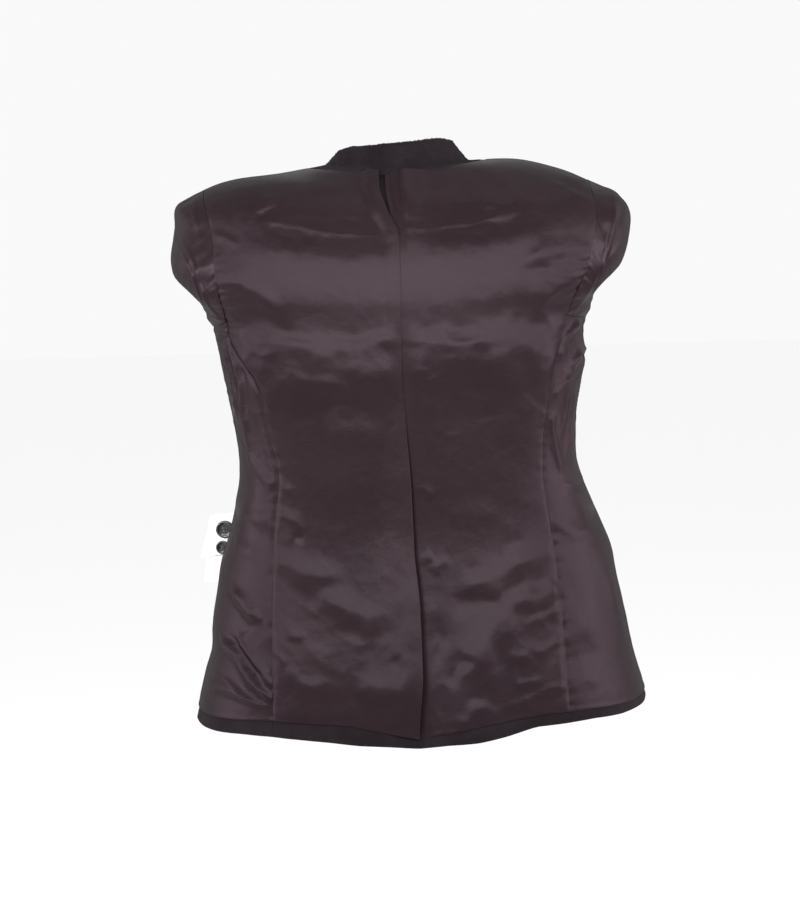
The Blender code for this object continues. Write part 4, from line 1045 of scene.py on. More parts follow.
def liningRelief(grid, folds, seed, seamsAt, front=False):
    # How far the lining stands out: folds and crumples, calmed towards its seams, and the seams' grooves
    u, z, side = grid["u"], grid["z"], grid["side"]
    relief = foldsOf(folds, u, z, side, front) + crumpleRelief(u, z, grid["x"], seed)
    # The armhole's seam is hidden in the cloth above its knots, and gathered up at them
    height, reach, strength = armholeKnots[side]
    near = np.exp(-((z - height) / reach) ** 2)
    armhole = smooth(grid["level"] - levelOf["underarm"] + armholeSeam["below"])
    least = seamCalm["least"] + seamCalm["knotted"] * near * armhole
    for seam in seamsAt:
        relief = relief * smooth(least + grid[seam] / seamCalm["reach"])
    for seam in seamsAt:
        groove = seamRelief(grid[seam], z, side, 2 + side)
        shown = armholeSeam["hidden"] + armholeSeam["knotted"] * near
        gathered = np.where(groove > 0, 1 + strength * near, shown)
        relief = relief + groove * (1 + (gathered - 1) * armhole)
        relief = relief + gathers(z, grid[seam], gathering["high"], 50 + side) * near * armhole
    # Spare length lies as a soft roll above the lower edge
    foot = grid["fromLow"]
    uneven = liningEdge["spareUneven"] * softNoise(u, 0 * u, liningEdge["spareSize"], 9)
    roll = liningEdge["spare"] * (1 + uneven)
    relief = relief + roll * np.exp(-((foot - liningEdge["spareAt"]) / liningEdge["spareReach"]) ** 2)
    relief = np.maximum(relief, liningEdge["lowest"])
    atFoot = smooth(foot / liningEdge["footReach"])
    return relief * atFoot + liningEdge["footLift"] * (1 - atFoot)


def makeLining(panel, side, outer):
    name = panel + sideNames[side]
    turn = liningEdge["footTurn"] * math.pi
    outer = rolledFoot(outer, side, liningEdge["footRoll"], turn=turn, steps=4)
    makeSheet("lining" + name, outer, cloth["lining"], "satin", side)
    print("lining" + name, "made")


# The centre back pleat against height z: how far the left edge stands up, the width over which it rises and
# where, the radius of its fold, and the lip on the right beside its open top
pleat = {
    "lift": ((6, 3.2), (-18, 4.4), (-42, 3.2), (-78, 1.0), (-105, 0.55), (-240, 0.55), (-275, 1.8),
             (-340, 4.6), (-450, 8.8), (-545, 8.8), (-580, 5.5), (-602, 4.5)),
    "rise": ((6, 14), (-50, 12), (-70, 4), (-235, 4), (-275, 16), (-340, 34), (-450, 48), (-550, 44),
             (-602, 26)),
    "band": ((6, 15), (-60, 14), (-70, 14), (-235, 14), (-275, 17), (-340, 22), (-450, 29), (-550, 28),
             (-602, 20)),
    "fold": ((6, 1.6), (-50, 1.3), (-66, 0.5), (-240, 0.45), (-300, 0.9), (-380, 1.7), (-450, 2.4),
             (-602, 1.6)),
    "sunk": ((6, 1.1), (-55, 1.1), (-75, 0.35), (-235, 0.35), (-290, 1.1), (-420, 1.6), (-602, 1.8)),
    "sunkReach": ((6, 4), (-300, 4), (-430, 8), (-602, 12)),
    "open": ((6, 12), (-25, 12), (-48, 7), (-64, 0.5), (-70, 0), (-602, 0)),
    "lip": ((6, 4.5), (-20, 5.6), (-42, 3.8), (-70, 1.2), (-88, 0), (-602, 0)),
    "lipAt": 13, "lipLeft": 4.5, "lipRight": 17,
    "under": 10, "tuck": 5, "uneven": 0.07, "unevenSize": 36,
    # how calm the lining lies beside the pleat: least share, then where it grows and over what reach
    "calm": {-1: (0.25, 2, 16), 1: (0.2, 7, 20)},
}
liningBack = {"rows": 300, "columns": 124, "top": 13.55}
liningSide = {"rows": 240, "columns": 60, "topGap": 0.005}
liningFront = {"rows": 200, "columns": 60, "top": 13.5}


def underarmTop(shares):
    return levelOf["underarm"] - cloth["underarmDip"] * np.sin(math.pi * shares) - liningSide["topGap"]


def makeLiningBack(side):
    edge = edges[side]["back"]
    start = pleatPlace
    if side > 0:
        start = start - pleat["tuck"] / quarterLength(0.5, seamLevels)
    else:
        parted = tableAt(pleat["open"], bodyPoint(pleatPlace, seamLevels)[:, 2] / mm)
        start = start - parted / quarterLength(0.5, seamLevels)
    shares = unevenShares(liningBack["columns"])
    low = footLevels(start, edge, shares)
    grid = panelGrid(side, start, edge, low, liningBack["top"], liningBack["rows"], shares)
    relief = liningRelief(grid, foldRows["back" + sideNames[side]], 20 + side, ("fromLast", "fromHigh"))
    z, away = grid["z"], grid["fromFirst"]
    least, start, reach = pleat["calm"][side]
    relief = relief * (least + (1 - least) * smooth((away - start) / reach))
    if side < 0:
        rise = smooth((tableAt(pleat["band"], z) - away) / tableAt(pleat["rise"], z) + 0.5)
        uneven = pleat["uneven"] * softNoise(z, 0 * z, pleat["unevenSize"], 12)
        outer = raised(grid, relief + tableAt(pleat["lift"], z) * rise * (1 + uneven))
        outer = rolledSide(outer, side, tableAt(pleat["fold"], z[:, 0]), under=pleat["under"])
    else:
        offset = away - pleat["tuck"] - pleat["lipAt"]
        reach = np.where(offset < 0, pleat["lipLeft"], pleat["lipRight"])
        relief = relief + tableAt(pleat["lip"], z) * np.exp(-(offset / reach) ** 2)
        reach = tableAt(pleat["sunkReach"], z)
        relief = relief - tableAt(pleat["sunk"], z) * smooth((pleat["tuck"] - 1 + reach - away) / reach)
        outer = raised(grid, np.maximum(relief, liningEdge["lowest"]))
    makeLining("Back", side, outer)


def makeLiningSide(side):
    edge = edges[side]
    shares = unevenShares(liningSide["columns"])
    low, high = footLevels(edge["back"], edge["front"], shares), underarmTop(shares)
    grid = panelGrid(side, edge["back"], edge["front"], low, high, liningSide["rows"], shares)
    folds = foldRows["side" + sideNames[side]]
    relief = liningRelief(grid, folds, 30 + side, ("fromFirst", "fromLast", "fromHigh"))
    makeLining("Side", side, raised(grid, relief))


def makeLiningFront(side):
    edge = edges[side]
    shares = unevenShares(liningFront["columns"])
    low, high = footLevels(edge["front"], edge["facing"], shares), liningFront["top"]
    grid = panelGrid(side, edge["front"], edge["facing"], low, high, liningFront["rows"], shares)
    folds = foldRows["front" + sideNames[side]]
    relief = liningRelief(grid, folds, 40 + side, ("fromFirst", "fromLast", "fromHigh"), True)
    makeLining("Front", side, raised(grid, relief))


for bodySide in sideNames:
    makeLiningBack(bodySide)
    makeLiningSide(bodySide)
    makeLiningFront(bodySide)

# The wool shows as the band of its turned-up hem and, from below, as its right side inside the body.
# Depths are to the face that shows.
woolBody = {
    "thick": 1.2, "inside": 4.6, "hemOutside": 1.6, "hemHeight": 36, "hemSteps": 6,
    "rows": 103, "spacing": 6, "spareColumns": 4, "widthRow": 40, "widthLevel": 1.0,
    "wave": 0.35, "waveSize": 58, "hemWave": 1.3, "hemWaveSize": 52, "hemWaveTop": 26, "hemSwell": 0.8,
    "ripple": 0.4, "rippleSize": 19,
}


def woolRelief(grid):
    u, z, low = grid["u"], grid["z"], grid["fromLow"]
    relief = woolBody["wave"] * softNoise(u, z, woolBody["waveSize"], 51)
    nearHem = smooth(1 - low / woolBody["hemWaveTop"])
    wave = softNoise(u, 0.4 * z, woolBody["hemWaveSize"], 52)
    wave = wave + woolBody["ripple"] * softNoise(u, z, woolBody["rippleSize"], 53)
    return relief + nearHem * (woolBody["hemSwell"] + woolBody["hemWave"] * wave)


def turnedHem(grid, relief):
    # From the top of the hem allowance down to its fold and up again as the body of the panel
    outside, inside = woolBody["hemOutside"], woolBody["inside"]
    rows = int((grid["fromLow"].mean(axis=1) < woolBody["hemHeight"]).sum())
    allowance = raised(grid, relief, outside)[:rows][::-1]
    radius = 0.5 * (inside - outside) * mm
    middle = raised(grid, relief, 0.5 * (inside + outside))[0]
    normal, down = grid["normal"][0], unit(grid["base"][0] - grid["base"][1])
    angles = np.linspace(0, math.pi, woolBody["hemSteps"] + 1)[1:-1]
    fold = [middle + radius * (normal * math.cos(angle) + down * math.sin(angle)) for angle in angles]
    return np.concatenate([allowance, fold, raised(grid, relief, inside)])


def makeWoolPanel(panel, side, first, last):
    level = woolBody["widthLevel"]
    corners = [bodyPoint(seam[woolBody["widthRow"]], level) for seam in (first, last)]
    width = np.abs(corners[0] - corners[1]).max() / mm
    shares = np.linspace(0, 1, int(width / woolBody["spacing"]) + woolBody["spareColumns"])
    high = underarmTop(shares) if panel == "Side" else topLevel
    grid = panelGrid(side, first, last, 0.0, high, woolBody["rows"], shares)
    outer = turnedHem(grid, woolRelief(grid))
    makeSheet("wool" + panel + sideNames[side], outer, woolBody["thick"], "wool", -side)


for bodySide, sideName in sideNames.items():
    seamsHere = edges[bodySide]
    middle = -bodySide * 0.5 * cloth["seamGap"] / quarterLength(0.5, seamLevels)
    makeWoolPanel("Back", bodySide, middle, seamsHere["back"])
    makeWoolPanel("Side", bodySide, seamsHere["back"], seamsHere["front"])
    makeWoolPanel("Front", bodySide, seamsHere["front"], seamsHere["free"])
print("wool body made")

# Wool facing along the free front edge. It rolls round the edge to the wool front, and above the break
# round to the lapel leaf that lies inside.
facing = {
    "rows": 150, "columns": 30, "thick": 1.2, "footRoll": 1.3, "footTurn": 0.8, "wave": 0.7, "waveSize": 70,
    "calm": 12, "lowest": -0.9,
    "roll": ((-602, 2.3), (-310, 2.3), (-250, 4.6), (6, 4.6)),
}
lapel = {
    "rows": 90, "columns": 32, "breakHeight": -276, "top": 12.2, "inside": 9.2, "thick": 2.2, "rim": 1.05,
    "width": ((-276, 7), (-220, 32), (-150, 56), (-90, 74), (-70, 66), (-40, 52)),
    "wave": 0.6, "waveSize": 64,
}


def makeFacing(side):
    name, edge = sideNames[side], edges[side]
    shares = unevenShares(facing["columns"])
    grid = panelGrid(side, edge["facing"], edge["free"], 0.0, topLevel, facing["rows"], shares)
    relief = facing["wave"] * softNoise(grid["u"], grid["z"], facing["waveSize"], 60 + side)
    relief = relief * smooth(grid["fromFirst"] / facing["calm"])
    relief = relief + seamRelief(grid["fromFirst"], grid["z"], side, 4 + side)
    outer = raised(grid, np.maximum(relief, facing["lowest"]))
    outer = rolledSide(outer, side, tableAt(facing["roll"], grid["z"][:, -1]), last=True, steps=8)
    outer = rolledFoot(outer, side, facing["footRoll"], turn=facing["footTurn"] * math.pi, steps=4)
    makeSheet("facing" + name, outer, facing["thick"], "wool", side)


def makeLapel(side):
    name, edge = sideNames[side], edges[side]
    heights = bodyPoint(edge["free"], seamLevels)[:, 2] / mm
    width = tableAt(lapel["width"], heights)
    outerEdge = edge["free"] - side * width / quarterLength(edge["free"], seamLevels)
    low = np.interp(lapel["breakHeight"], heights, seamLevels)
    shares = unevenShares(lapel["columns"])
    grid = panelGrid(side, outerEdge, edge["free"], low, lapel["top"], lapel["rows"], shares)
    relief = lapel["wave"] * softNoise(grid["u"], grid["z"], lapel["waveSize"], 66 + side)
    outer = rolledSide(raised(grid, relief, lapel["inside"]), -side, lapel["rim"], steps=5)
    makeSheet("lapel" + name, outer, lapel["thick"], "wool", -side)


for bodySide in sideNames:
    makeFacing(bodySide)
    makeLapel(bodySide)
print("facings and lapels made")

# Collar round the neck: place, height of the stand, how far it leans in, and depth of the fall inside
collar = {
    "rows": ((-1.27, 7, 3, 17), (-1, 13, 14, 28), (-0.6, 20, 9, 42), (0, 25, 4, 46), (0.5, 27, 8, 46),
             (1, 20, 18, 30), (1.27, 7, 4, 17)),
    "footRows": 7, "footLevel": 13.4, "footDepth": 0.9, "footUnder": 1.6, "footTurn": 0.15,
    "columns": 190, "standRows": 18, "rollRows": 9, "fallRows": 18, "rounding": 17,
    "roll": 3.2, "thick": 1.9, "clear": 0.9,
    # unevenness of the wool from point to point, much finer than the collar's own rows and columns
    "nap": 0.8, "napLong": 0.06, "napWide": 0.013, "napStart": 0.11, "napEnd": 0.3,
    "coarse": 0.9, "coarseSize": 0.04, "highest": 1.6,
}


def collarRows():
    # The foot lies flat under the lining's edge, and under the facing towards its ends. The stand leans in
    # above it and rolls over into the fall.
    place = np.linspace(collar["rows"][0][0], collar["rows"][-1][0], collar["columns"])
    table = np.array(collar["rows"], float)
    kernel = np.hanning(collar["rounding"])
    spare = collar["rounding"] // 2
    measures = []
    for column in (1, 2, 3):
        measure = np.pad(np.interp(place, table[:, 0], table[:, column]), spare, mode="edge")
        measures.append(np.convolve(measure, kernel / kernel.sum(), "valid"))
    stand, lean, fall = measures
    base = bodyPoint(place, topLevel) / mm
    inward = unit(base * (-1, -1, 0) + (ringsAt(np.array(topLevel))["xMiddle"], 0, 0))
    up = unit(np.stack([0 * stand, 0 * stand, stand], axis=-1) + inward * lean[:, None])
    out = -unit(inward - up * (inward * up).sum(axis=-1, keepdims=True))
    foot = base + inward * collar["clear"]
    height, turn = np.hypot(stand, lean) - collar["roll"], collar["roll"]
    hinge = foot + up * height[:, None] - out * turn
    level = np.linspace(collar["footLevel"], topLevel, collar["footRows"] + 1)[:-1, None] + 0 * place
    depth = collar["footUnder"] * smooth((np.abs(place) - 1.0) / collar["footTurn"]) + collar["footDepth"]
    place = place + 0 * level
    rows = list(bodyPoint(place, level) / mm - bodyNormal(place, level) * depth[:, None])
    rows += [foot + up * (height * share)[:, None] for share in np.linspace(0, 1, collar["standRows"])]
    angles = np.linspace(0, math.pi, collar["rollRows"] + 1)[1:]
    rows += [hinge + turn * (out * math.cos(angle) + up * math.sin(angle)) for angle in angles]
    shares = np.linspace(0, 1, collar["fallRows"])[1:]
    rows += [hinge - out * turn - up * (fall * share)[:, None] for share in shares]
    return np.array(rows), out


def collarNap(grid):
    # None on the first and last row, and less of it at the left end
    along, up = walked(swapped(grid)).T - collar["napStart"], walked(grid)
    nap = collar["nap"] * softNoise(along / collar["napLong"], up / collar["napWide"], 1, 71)
    nap[:, 0] *= collar["napEnd"]
    nap = nap + collar["coarse"] * softNoise(along, up, collar["coarseSize"], 72)
    nap[[0, -1]] = 0
    return np.minimum(nap, collar["highest"])


def makeCollar():
    grid, out = collarRows()
    normals = gridNormals(grid)
    sign = 1 if (normals[collar["footRows"] + 2] * out).sum() > 0 else -1
    grid = grid + normals * sign * collarNap(grid * mm)[..., None]
    normals = gridNormals(grid) * sign
    outer = rolledEdge(grid[::-1] * mm, normals[::-1], 0.5 * collar["thick"], steps=4)[::-1]
    makeSheet("woolCollar", outer, collar["thick"], "wool", sign, node="collar")
    print("collar made")


makeCollar()

# Sleeves: the head rolls out over the armhole as a cap, turns in over its lip and hangs inside the body
sleeve = {
    "columns": 216, "capRows": 40, "lipRows": 9, "insideSteps": 5, "seamShift": 0.004,
    "seamSteps": 240, "underarmSteps": 60, "calmTop": 1.1, "calmFall": 0.8, "soften": 6,
    "lipTop": -103, "lipBottom": -149, "lipBack": 0.21, "lipFront": 0.20, "lipRound": 1.3, "lipRoll": 6.0,
    "puff": 2.2, "liningEnd": 6, "woolDepth": 4.6, "woolThick": 1.4,
    # rings over the underarm: lowest height, then x and height of the top, half depth, sag of its middle
    "turned": ((-165, 221, -84, 50, 13), (-172, 202, -74, 50, 9), (-179, 178, -79, 49, 5),
               (-186, 158, -104, 49, 2), (-193, 147, -142, 50, 0)),
    "turnedClear": 12.5, "turnedMiddle": -3,
    # rings of the hanging sleeve: height, half thickness, half width, clearance from the body
    "hanging": ((-215, 19, 52, 4), (-265, 14, 60, 4), (-325, 12, 61, 4), (-395, 12, 60, 5),
                (-470, 12, 57, 6), (-545, 11, 53, 7)),
}
# What stands up on a cap: rolls along it as (turn from the shoulder in degrees, half width in degrees,
# distance from the seam and reach in millimetres, height, drift of that distance for each degree)
capRolls = {
    -1: ((96, 44, 25, 3.6, 3.2, -0.42), (82, 38, 37, 3.8, 3.0, -0.42), (100, 26, 30, 1.9, -3.0, -0.35),
         (89, 40, 31, 3.4, -2.6, -0.42), (104, 36, 19, 3.2, -1.6, -0.4), (24, 22, 30, 8.0, 1.4, -0.2),
         (40, 26, 12, 5.0, 0.9, 0.3), (330, 30, 22, 6.0, 1.8, 0.2), (300, 30, 12, 4.5, 1.8, 0.1),
         (276, 26, 24, 5.0, -1.4, 0.2), (8, 14, 60, 8.0, 1.2, 0)),
    1: ((60, 40, 30, 3.6, 2.0, 0.1), (74, 40, 22, 3.6, 1.5, -0.2), (50, 32, 42, 4.0, -1.6, 0),
        (68, 36, 25, 3.0, -1.6, -0.1), (88, 26, 32, 2.0, -2.0, -0.3), (16, 20, 30, 7.0, 1.2, 0),
        (326, 32, 20, 6.0, 1.8, 0.2), (296, 28, 10, 4.5, 1.8, 0), (272, 26, 26, 5.0, -1.4, 0.1),
        (352, 14, 62, 8.0, 1.2, 0)),
}
# Puckers along its seam, tightest where it is knotted, at this turn and half width in degrees, and wrinkles
# towards its lip
capPuckers = {
    "high": 0.6, "size": 9, "reach": 17, "at": {-1: 122, 1: 104}, "halfWidth": 38, "elsewhere": 0.3,
    "rise": 3, "lipHigh": 0.9, "lipSize": 15, "lipFrom": 20, "seamHidden": 0.1,
    "rollWander": 2.5, "rollWanderSize": 33, "wave": 0.8, "waveSize": 34,
}


def sleeveLoop(side):
    # Places, levels and turns of points spaced evenly round the armhole, from its top down the back
    edge, tip, bottom = edges[side], levelOf["shoulderTip"], levelOf["underarm"]
    down = np.linspace(tip, bottom, sleeve["seamSteps"])
    share = np.linspace(0, 1, sleeve["underarmSteps"])
    back = np.interp(down, seamLevels, edge["back"])
    front = np.interp(down[::-1], seamLevels, edge["front"])
    low = back[-1] + (front[0] - back[-1]) * share
    dip = bottom - cloth["underarmDip"] * np.sin(math.pi * share)
    place = np.concatenate([back, low[1:-1], front])
    level = np.concatenate([down, dip[1:-1], down[::-1]])
    length = walked(bodyPoint(place, level)[:, None])[:, 0]
    at = np.linspace(0, length[-1], sleeve["columns"] + 1)[:-1]
    return np.interp(at, length, place), np.interp(at, length, level), 2 * math.pi * at / length[-1], at


def lipLoop(side, angle):
    reach = np.where(angle < math.pi, sleeve["lipBack"], sleeve["lipFront"])
    place = side * (1 - reach * np.sin(angle))
    drop = np.abs(np.sin(0.5 * angle)) ** sleeve["lipRound"]
    return place, levelOfHeight(place, sleeve["lipTop"] + (sleeve["lipBottom"] - sleeve["lipTop"]) * drop)


def turnsApart(turn, middle):
    return (turn - middle + 180) % 360 - 180


def capRelief(side, around, down, angle):
    # Against the distance round the cap, down from its seam, and its turn
    turn = np.degrees(angle)
    knotted = np.exp(-(turnsApart(turn, capPuckers["at"][side]) / capPuckers["halfWidth"]) ** 2)
    shown = capPuckers["seamHidden"] + (1 - capPuckers["seamHidden"]) * knotted
    relief = seamRelief(down, around, side, 6 + side) * shown
    shift = capPuckers["rollWander"] * softNoise(around, 0 * around, capPuckers["rollWanderSize"], 7)
    for middle, halfWidth, at, reach, high, drift in capRolls[side]:
        far = turnsApart(turn, middle)
        away = down - at - drift * far - shift
        relief = relief + high * np.exp(-(far / halfWidth) ** 2 - (away / reach) ** 2)
    relief = relief + gathers(around, down, gathering["capHigh"], 54 + side) * knotted
    pucker = softNoise(around, 0.22 * down, capPuckers["size"], 8 + side)
    pucker = pucker * (capPuckers["elsewhere"] + (1 - capPuckers["elsewhere"]) * knotted)
    pucker = pucker * np.exp(-(down / capPuckers["reach"]) ** 2) * smooth(down / capPuckers["rise"])
    wrinkle = softNoise(around + 0.5 * down, 0.35 * down, capPuckers["lipSize"], 10 + side)
    wrinkle = wrinkle * smooth(down / capPuckers["lipFrom"])
    wave = softNoise(around, down, capPuckers["waveSize"], 12 + side)
    relief = relief + capPuckers["high"] * pucker + capPuckers["lipHigh"] * wrinkle
    return relief + capPuckers["wave"] * wave


def sleeveFace(side):
    # Rows of the lining's face from the armhole seam over the cap, round the lip and down inside the body
    place, level, angle, around = sleeveLoop(side)
    lipPlace, lipLevel = lipLoop(side, angle)
    share = np.linspace(0, 1, sleeve["capRows"])[:, None]
    share = sleeve["seamShift"] + (1 - sleeve["seamShift"]) * share
    capPlace, capLevel = place + (lipPlace - place) * share, level + (lipLevel - level) * share
    normal = bodyNormal(capPlace, capLevel)
    puff = sleeve["puff"] * np.sin(math.pi * share) ** 2
    cap = bodyPoint(capPlace, capLevel) / mm + normal * puff[..., None]
    down = walked(cap * mm)
    relief = capRelief(side, around + 0 * down, down, angle + 0 * down)
    relief = relief * smooth(sleeve["calmTop"] - sleeve["calmFall"] * share)
    cap = cap + normal * relief[..., None]
    edge, outs, roll = cap[-1], normal[-1], sleeve["lipRoll"]
    ways = unit(np.cross(outs, np.roll(edge, -1, axis=0) - np.roll(edge, 1, axis=0)))
    ways = ways * np.sign((ways * (edge.mean(axis=0) - edge)).sum())
    lip = []
    for turn in np.linspace(0, math.pi, sleeve["lipRows"] + 1)[1:]:
        lip.append(edge - outs * roll + roll * (outs * math.cos(turn) + ways * math.sin(turn)))
    rings = [lip[-3], lip[-1]]
    for lowest, topX, topZ, halfDepth, sag in sleeve["turned"]:
        lowX = abs(bodyPoint(side, levelOfHeight(side, lowest))[0]) / mm - sleeve["turnedClear"]
        bottom, top = np.array((side * lowX, 0, lowest)), np.array((side * topX, 0, topZ))
        across = np.stack([-side * sag * np.sin(angle) ** 2,
                           sleeve["turnedMiddle"] - halfDepth * np.sin(angle), 0 * angle], axis=-1)
        rings.append(0.5 * (top + bottom) + 0.5 * (top - bottom) * np.cos(angle)[:, None] + across)
    for height, halfThick, halfWidth, clear in sleeve["hanging"]:
        low = max(float(levelOfHeight(side, height)), levelOf["waist"])
        shift = halfWidth * np.sin(angle) / quarterLength(side, low)
        depth = 2 * sleeve["woolDepth"] + clear + halfThick * (1 + np.cos(angle))
        at = side * (1 - shift)
        ring = bodyPoint(at, low) / mm - bodyNormal(at, low) * depth[:, None]
        ring[:, 2] = height
        rings.append(ring)
    rings.append(2 * rings[-1] - rings[-2])
    steps = (np.arange(sleeve["insideSteps"]) + 1)[:, None, None] / sleeve["insideSteps"]
    inside = [curved(*rings[index:index + 4], steps) for index in range(len(rings) - 3)]
    return np.concatenate([cap, np.array(lip), *inside]) * mm


def makeSleeve(side):
    name = sideNames[side]
    face = sleeveFace(side)
    normals = gridNormals(face, True)
    outward = bodyNormal(*sleeveLoop(side)[:2])
    out = 1 if (normals[2] * outward).sum() > 0 else -1
    lining = face[:-sleeve["liningEnd"]]
    makeSheet("sleeveLining" + name, lining, cloth["lining"], "satin", out, closed=True)
    # The wool is even, so it takes half the rows and columns and softened normals
    for _ in range(sleeve["soften"]):
        beside = np.roll(normals, 1, axis=1) + np.roll(normals, -1, axis=1)
        normals = unit(0.5 * normals + 0.25 * beside)
    under = face[::2, ::2] - normals[::2, ::2] * out * sleeve["woolDepth"] * mm
    makeSheet("woolSleeve" + name, under, sleeve["woolThick"], "wool", -out, closed=True)
    print("sleeve made on the", name.lower())


for bodySide in sideNames:
    makeSleeve(bodySide)

# Two bare leaves of tape stand out of the left side seam, with two spare buttons sewn on the upper one.
# Columns: height of the middle, how far back, reach, height, fall of the outer end in degrees, curl
leaves = {
    "careLabel": (-395, 0, 31, 46, 8, 2.0),
    "careLabelUnder": (-413, 2, 24, 72, 4, 2.0),
}
tapeSizes = {"thick": 0.45, "clear": 0.6, "rows": 44, "columns": 28, "wave": 0.7, "waveSize": 21,
             "lowest": -0.2, "cornerCurl": 2.2}


def leafY(height, back):
    place = np.interp(levelOfHeight(-1, height), seamLevels, edges[-1]["front"])
    return bodyPoint(place, levelOfHeight(-1, height))[1] / mm + back


def makeLeaf(name, seed):
    middle, back, reach, tall, tilt, curl = leaves[name]
    up, out = np.linspace(-0.5, 0.5, tapeSizes["rows"]), np.linspace(0, 1, tapeSizes["columns"])
    height = middle + tall * up
    level = levelOfHeight(-1 + 0 * height, height)
    seam = bodyPoint(np.interp(level, seamLevels, edges[-1]["front"]), level) / mm
    out, up = np.meshgrid(out, up)
    x = seam[:, :1] - tapeSizes["clear"] - reach * out
    z = seam[:, 2:] - math.tan(math.radians(tilt)) * reach * out
    wave = softNoise(reach * out, tall * up, tapeSizes["waveSize"], seed) * smooth(3 * out)
    wave = np.maximum(tapeSizes["wave"] * wave, tapeSizes["lowest"])
    # The lower outer corner curls back
    corner = tapeSizes["cornerCurl"] * smooth(1.6 * out - 0.6) * smooth(-2.4 * up - 0.4)
    y = leafY(middle, back) + curl * out ** 2 + wave + corner
    outer = np.stack([x, y, z], axis=-1) * mm
    sign = 1 if gridNormals(outer)[..., 1].sum() < 0 else -1
    makeSheet(name, outer, tapeSizes["thick"], "tape", sign)


makeLeaf("careLabel", 81)
makeLeaf("careLabelUnder", 84)
print("label leaves made")

# Buttons turned from a profile (share of the radius, share of the thickness), with four holes and thread
button = {
    "profile": ((0.0, 0.0), (0.80, 0.0), (0.93, 0.10), (1.0, 0.34), (1.0, 0.62), (0.97, 0.84), (0.90, 0.97),
                (0.82, 1.0), (0.74, 0.93), (0.67, 0.78), (0.58, 0.71), (0.0, 0.68)),
    "around": 64, "holeAt": 0.21, "holeSize": 0.085, "sharp": 35,
}
# A stitch: radius as a share of the button's, how far apart its strands lie in radii, how high it stands as
# a share of the button's thickness, its arch in radii, its dip at both ends, steps along and round it
stitch = {"size": 0.055, "apart": 0.88, "high": 0.74, "arch": 0.9, "dip": 0.5, "past": 1.02, "steps": 8,
          "around": 8}


def turnButton(name, middle, out, radius, thick, material):
    # Middle is on the back of the button, and out is the way its face looks
    around = button["around"]
    mesh = bpy.data.meshes.new(name)
    made = bmesh.new()
    rings = []
    for share, high in button["profile"]:
        count = 1 if share == 0 else around
        ring = []
        for step in range(count):
            turn = 2 * math.pi * step / around
            point = (radius * share * math.cos(turn), radius * share * math.sin(turn), thick * high)
            ring.append(made.verts.new(Vector(point) * mm))
        rings.append(ring)
    for first, second in zip(rings[:-1], rings[1:]):
        for step in range(around):
            after = (step + 1) % around
            corners = [first[step % len(first)], first[after % len(first)],
                       second[after % len(second)], second[step % len(second)]]
            made.faces.new([corner for index, corner in enumerate(corners) if corner not in corners[:index]])
    bmesh.ops.recalc_face_normals(made, faces=made.faces)
    made.to_mesh(mesh)
    made.free()
    obj = bpy.data.objects.new(name, mesh)
    bpy.context.scene.collection.objects.link(obj)
    hole = radius * button["holeSize"] * mm
    bpy.ops.mesh.primitive_cylinder_add(vertices=20, radius=hole, depth=3 * thick * mm)
    drill = bpy.context.object
    for turn in range(4):
        angle = math.pi * (0.25 + 0.5 * turn)
        away = radius * button["holeAt"] * mm
        drill.location = (away * math.cos(angle), away * math.sin(angle), 0.5 * thick * mm)
        cut = obj.modifiers.new("hole", "BOOLEAN")
        cut.operation = "DIFFERENCE"
        cut.object = drill
        bpy.context.view_layer.objects.active = obj
        bpy.context.view_layer.update()
        bpy.ops.object.modifier_apply(modifier="hole")
    bpy.data.objects.remove(drill)
    turn = Vector(out).to_track_quat("Z", "Y").to_matrix().to_4x4()
    place = Matrix.Translation(Vector(middle) * mm) @ turn
    obj.data.transform(place)
    obj.data.materials.append(material)
    obj.data.shade_smooth()
    obj.data.set_sharp_from_angle(angle=math.radians(button["sharp"]))
    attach(obj, "root")
    return obj, place


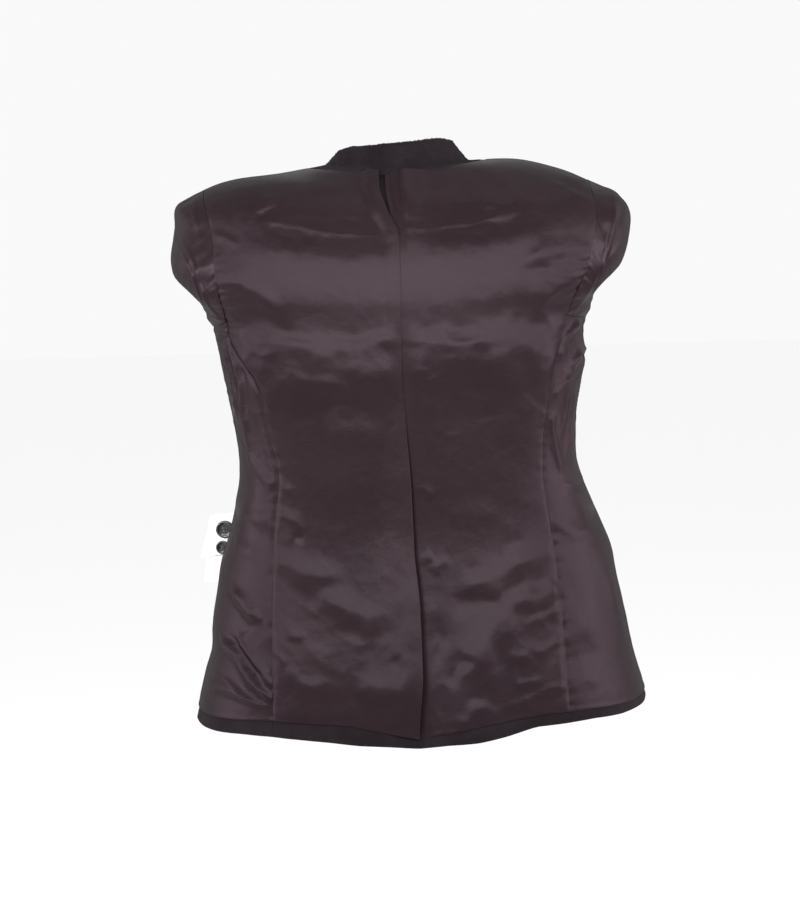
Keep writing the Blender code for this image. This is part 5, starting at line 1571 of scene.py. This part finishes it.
def sewOn(name, place, radius, thick):
    # Two stitches across the holes, each a short round arch
    mesh = bpy.data.meshes.new(name)
    made = bmesh.new()
    away, size = radius * button["holeAt"] * math.sqrt(0.5), radius * stitch["size"]
    around = stitch["around"]
    for row in (-1, 1):
        for strand in (-1, 1):
            rings = []
            for step in range(stitch["steps"] + 1):
                share = 2 * step / stitch["steps"] - 1
                high = thick * stitch["high"] + stitch["arch"] * size * math.cos(0.5 * math.pi * share)
                high = high - stitch["dip"] * share ** 4
                along, across = share * away * stitch["past"], row * away + strand * size * stitch["apart"]
                ring = []
                for corner in range(around):
                    angle = 2 * math.pi * corner / around
                    offset = Vector((0, math.cos(angle), math.sin(angle))) * size
                    ring.append(made.verts.new((Vector((along, across, high)) + offset) * mm))
                rings.append(ring)
            for first, second in zip(rings[:-1], rings[1:]):
                for corner in range(around):
                    after = (corner + 1) % around
                    made.faces.new((first[corner], first[after], second[after], second[corner]))
            made.faces.new(rings[0][::-1])
            made.faces.new(rings[-1])
    bmesh.ops.recalc_face_normals(made, faces=made.faces)
    made.to_mesh(mesh)
    made.free()
    mesh.transform(place)
    mesh.materials.append(buttonThread)
    mesh.shade_smooth()
    obj = bpy.data.objects.new(name, mesh)
    bpy.context.scene.collection.objects.link(obj)
    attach(obj, "root")


def makeButton(name, middle, out, radius, thick):
    obj, place = turnButton(name, middle, out, radius, thick, buttonPlastic)
    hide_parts(nodeOf(name))
    sewOn(name + "Thread", place, radius, thick)


# Spare buttons on the label: x, z, radius and thickness. Front buttons: height
spareButtons = {"Large": (-194, -391, 9.8, 3.2), "Small": (-197, -411, 7.5, 2.8)}
spareClear = 0.5
frontButtons = {"Top": -290, "Low": -385}
frontButton = {"fromEdge": 20, "radius": 10, "thick": 3.6, "clear": 0.5, "place": 1.85}

labelY = leafY(*leaves["careLabel"][:2])
for buttonName, (x, z, radius, thick) in spareButtons.items():
    makeButton("spareButton" + buttonName, (x, labelY - spareClear, z), (0, -1, 0), radius, thick)
for buttonName, height in frontButtons.items():
    level = float(levelOfHeight(frontButton["place"], height))
    free = float(np.interp(level, seamLevels, edges[1]["free"]))
    place = free - frontButton["fromEdge"] / float(quarterLength(free, level))
    inward = -bodyNormal(np.array(place), np.array(level))
    middle = bodyPoint(place, level) / mm + inward * (woolBody["inside"] + frontButton["clear"])
    makeButton("frontButton" + buttonName, middle, inward, frontButton["radius"], frontButton["thick"])
print("buttons made")
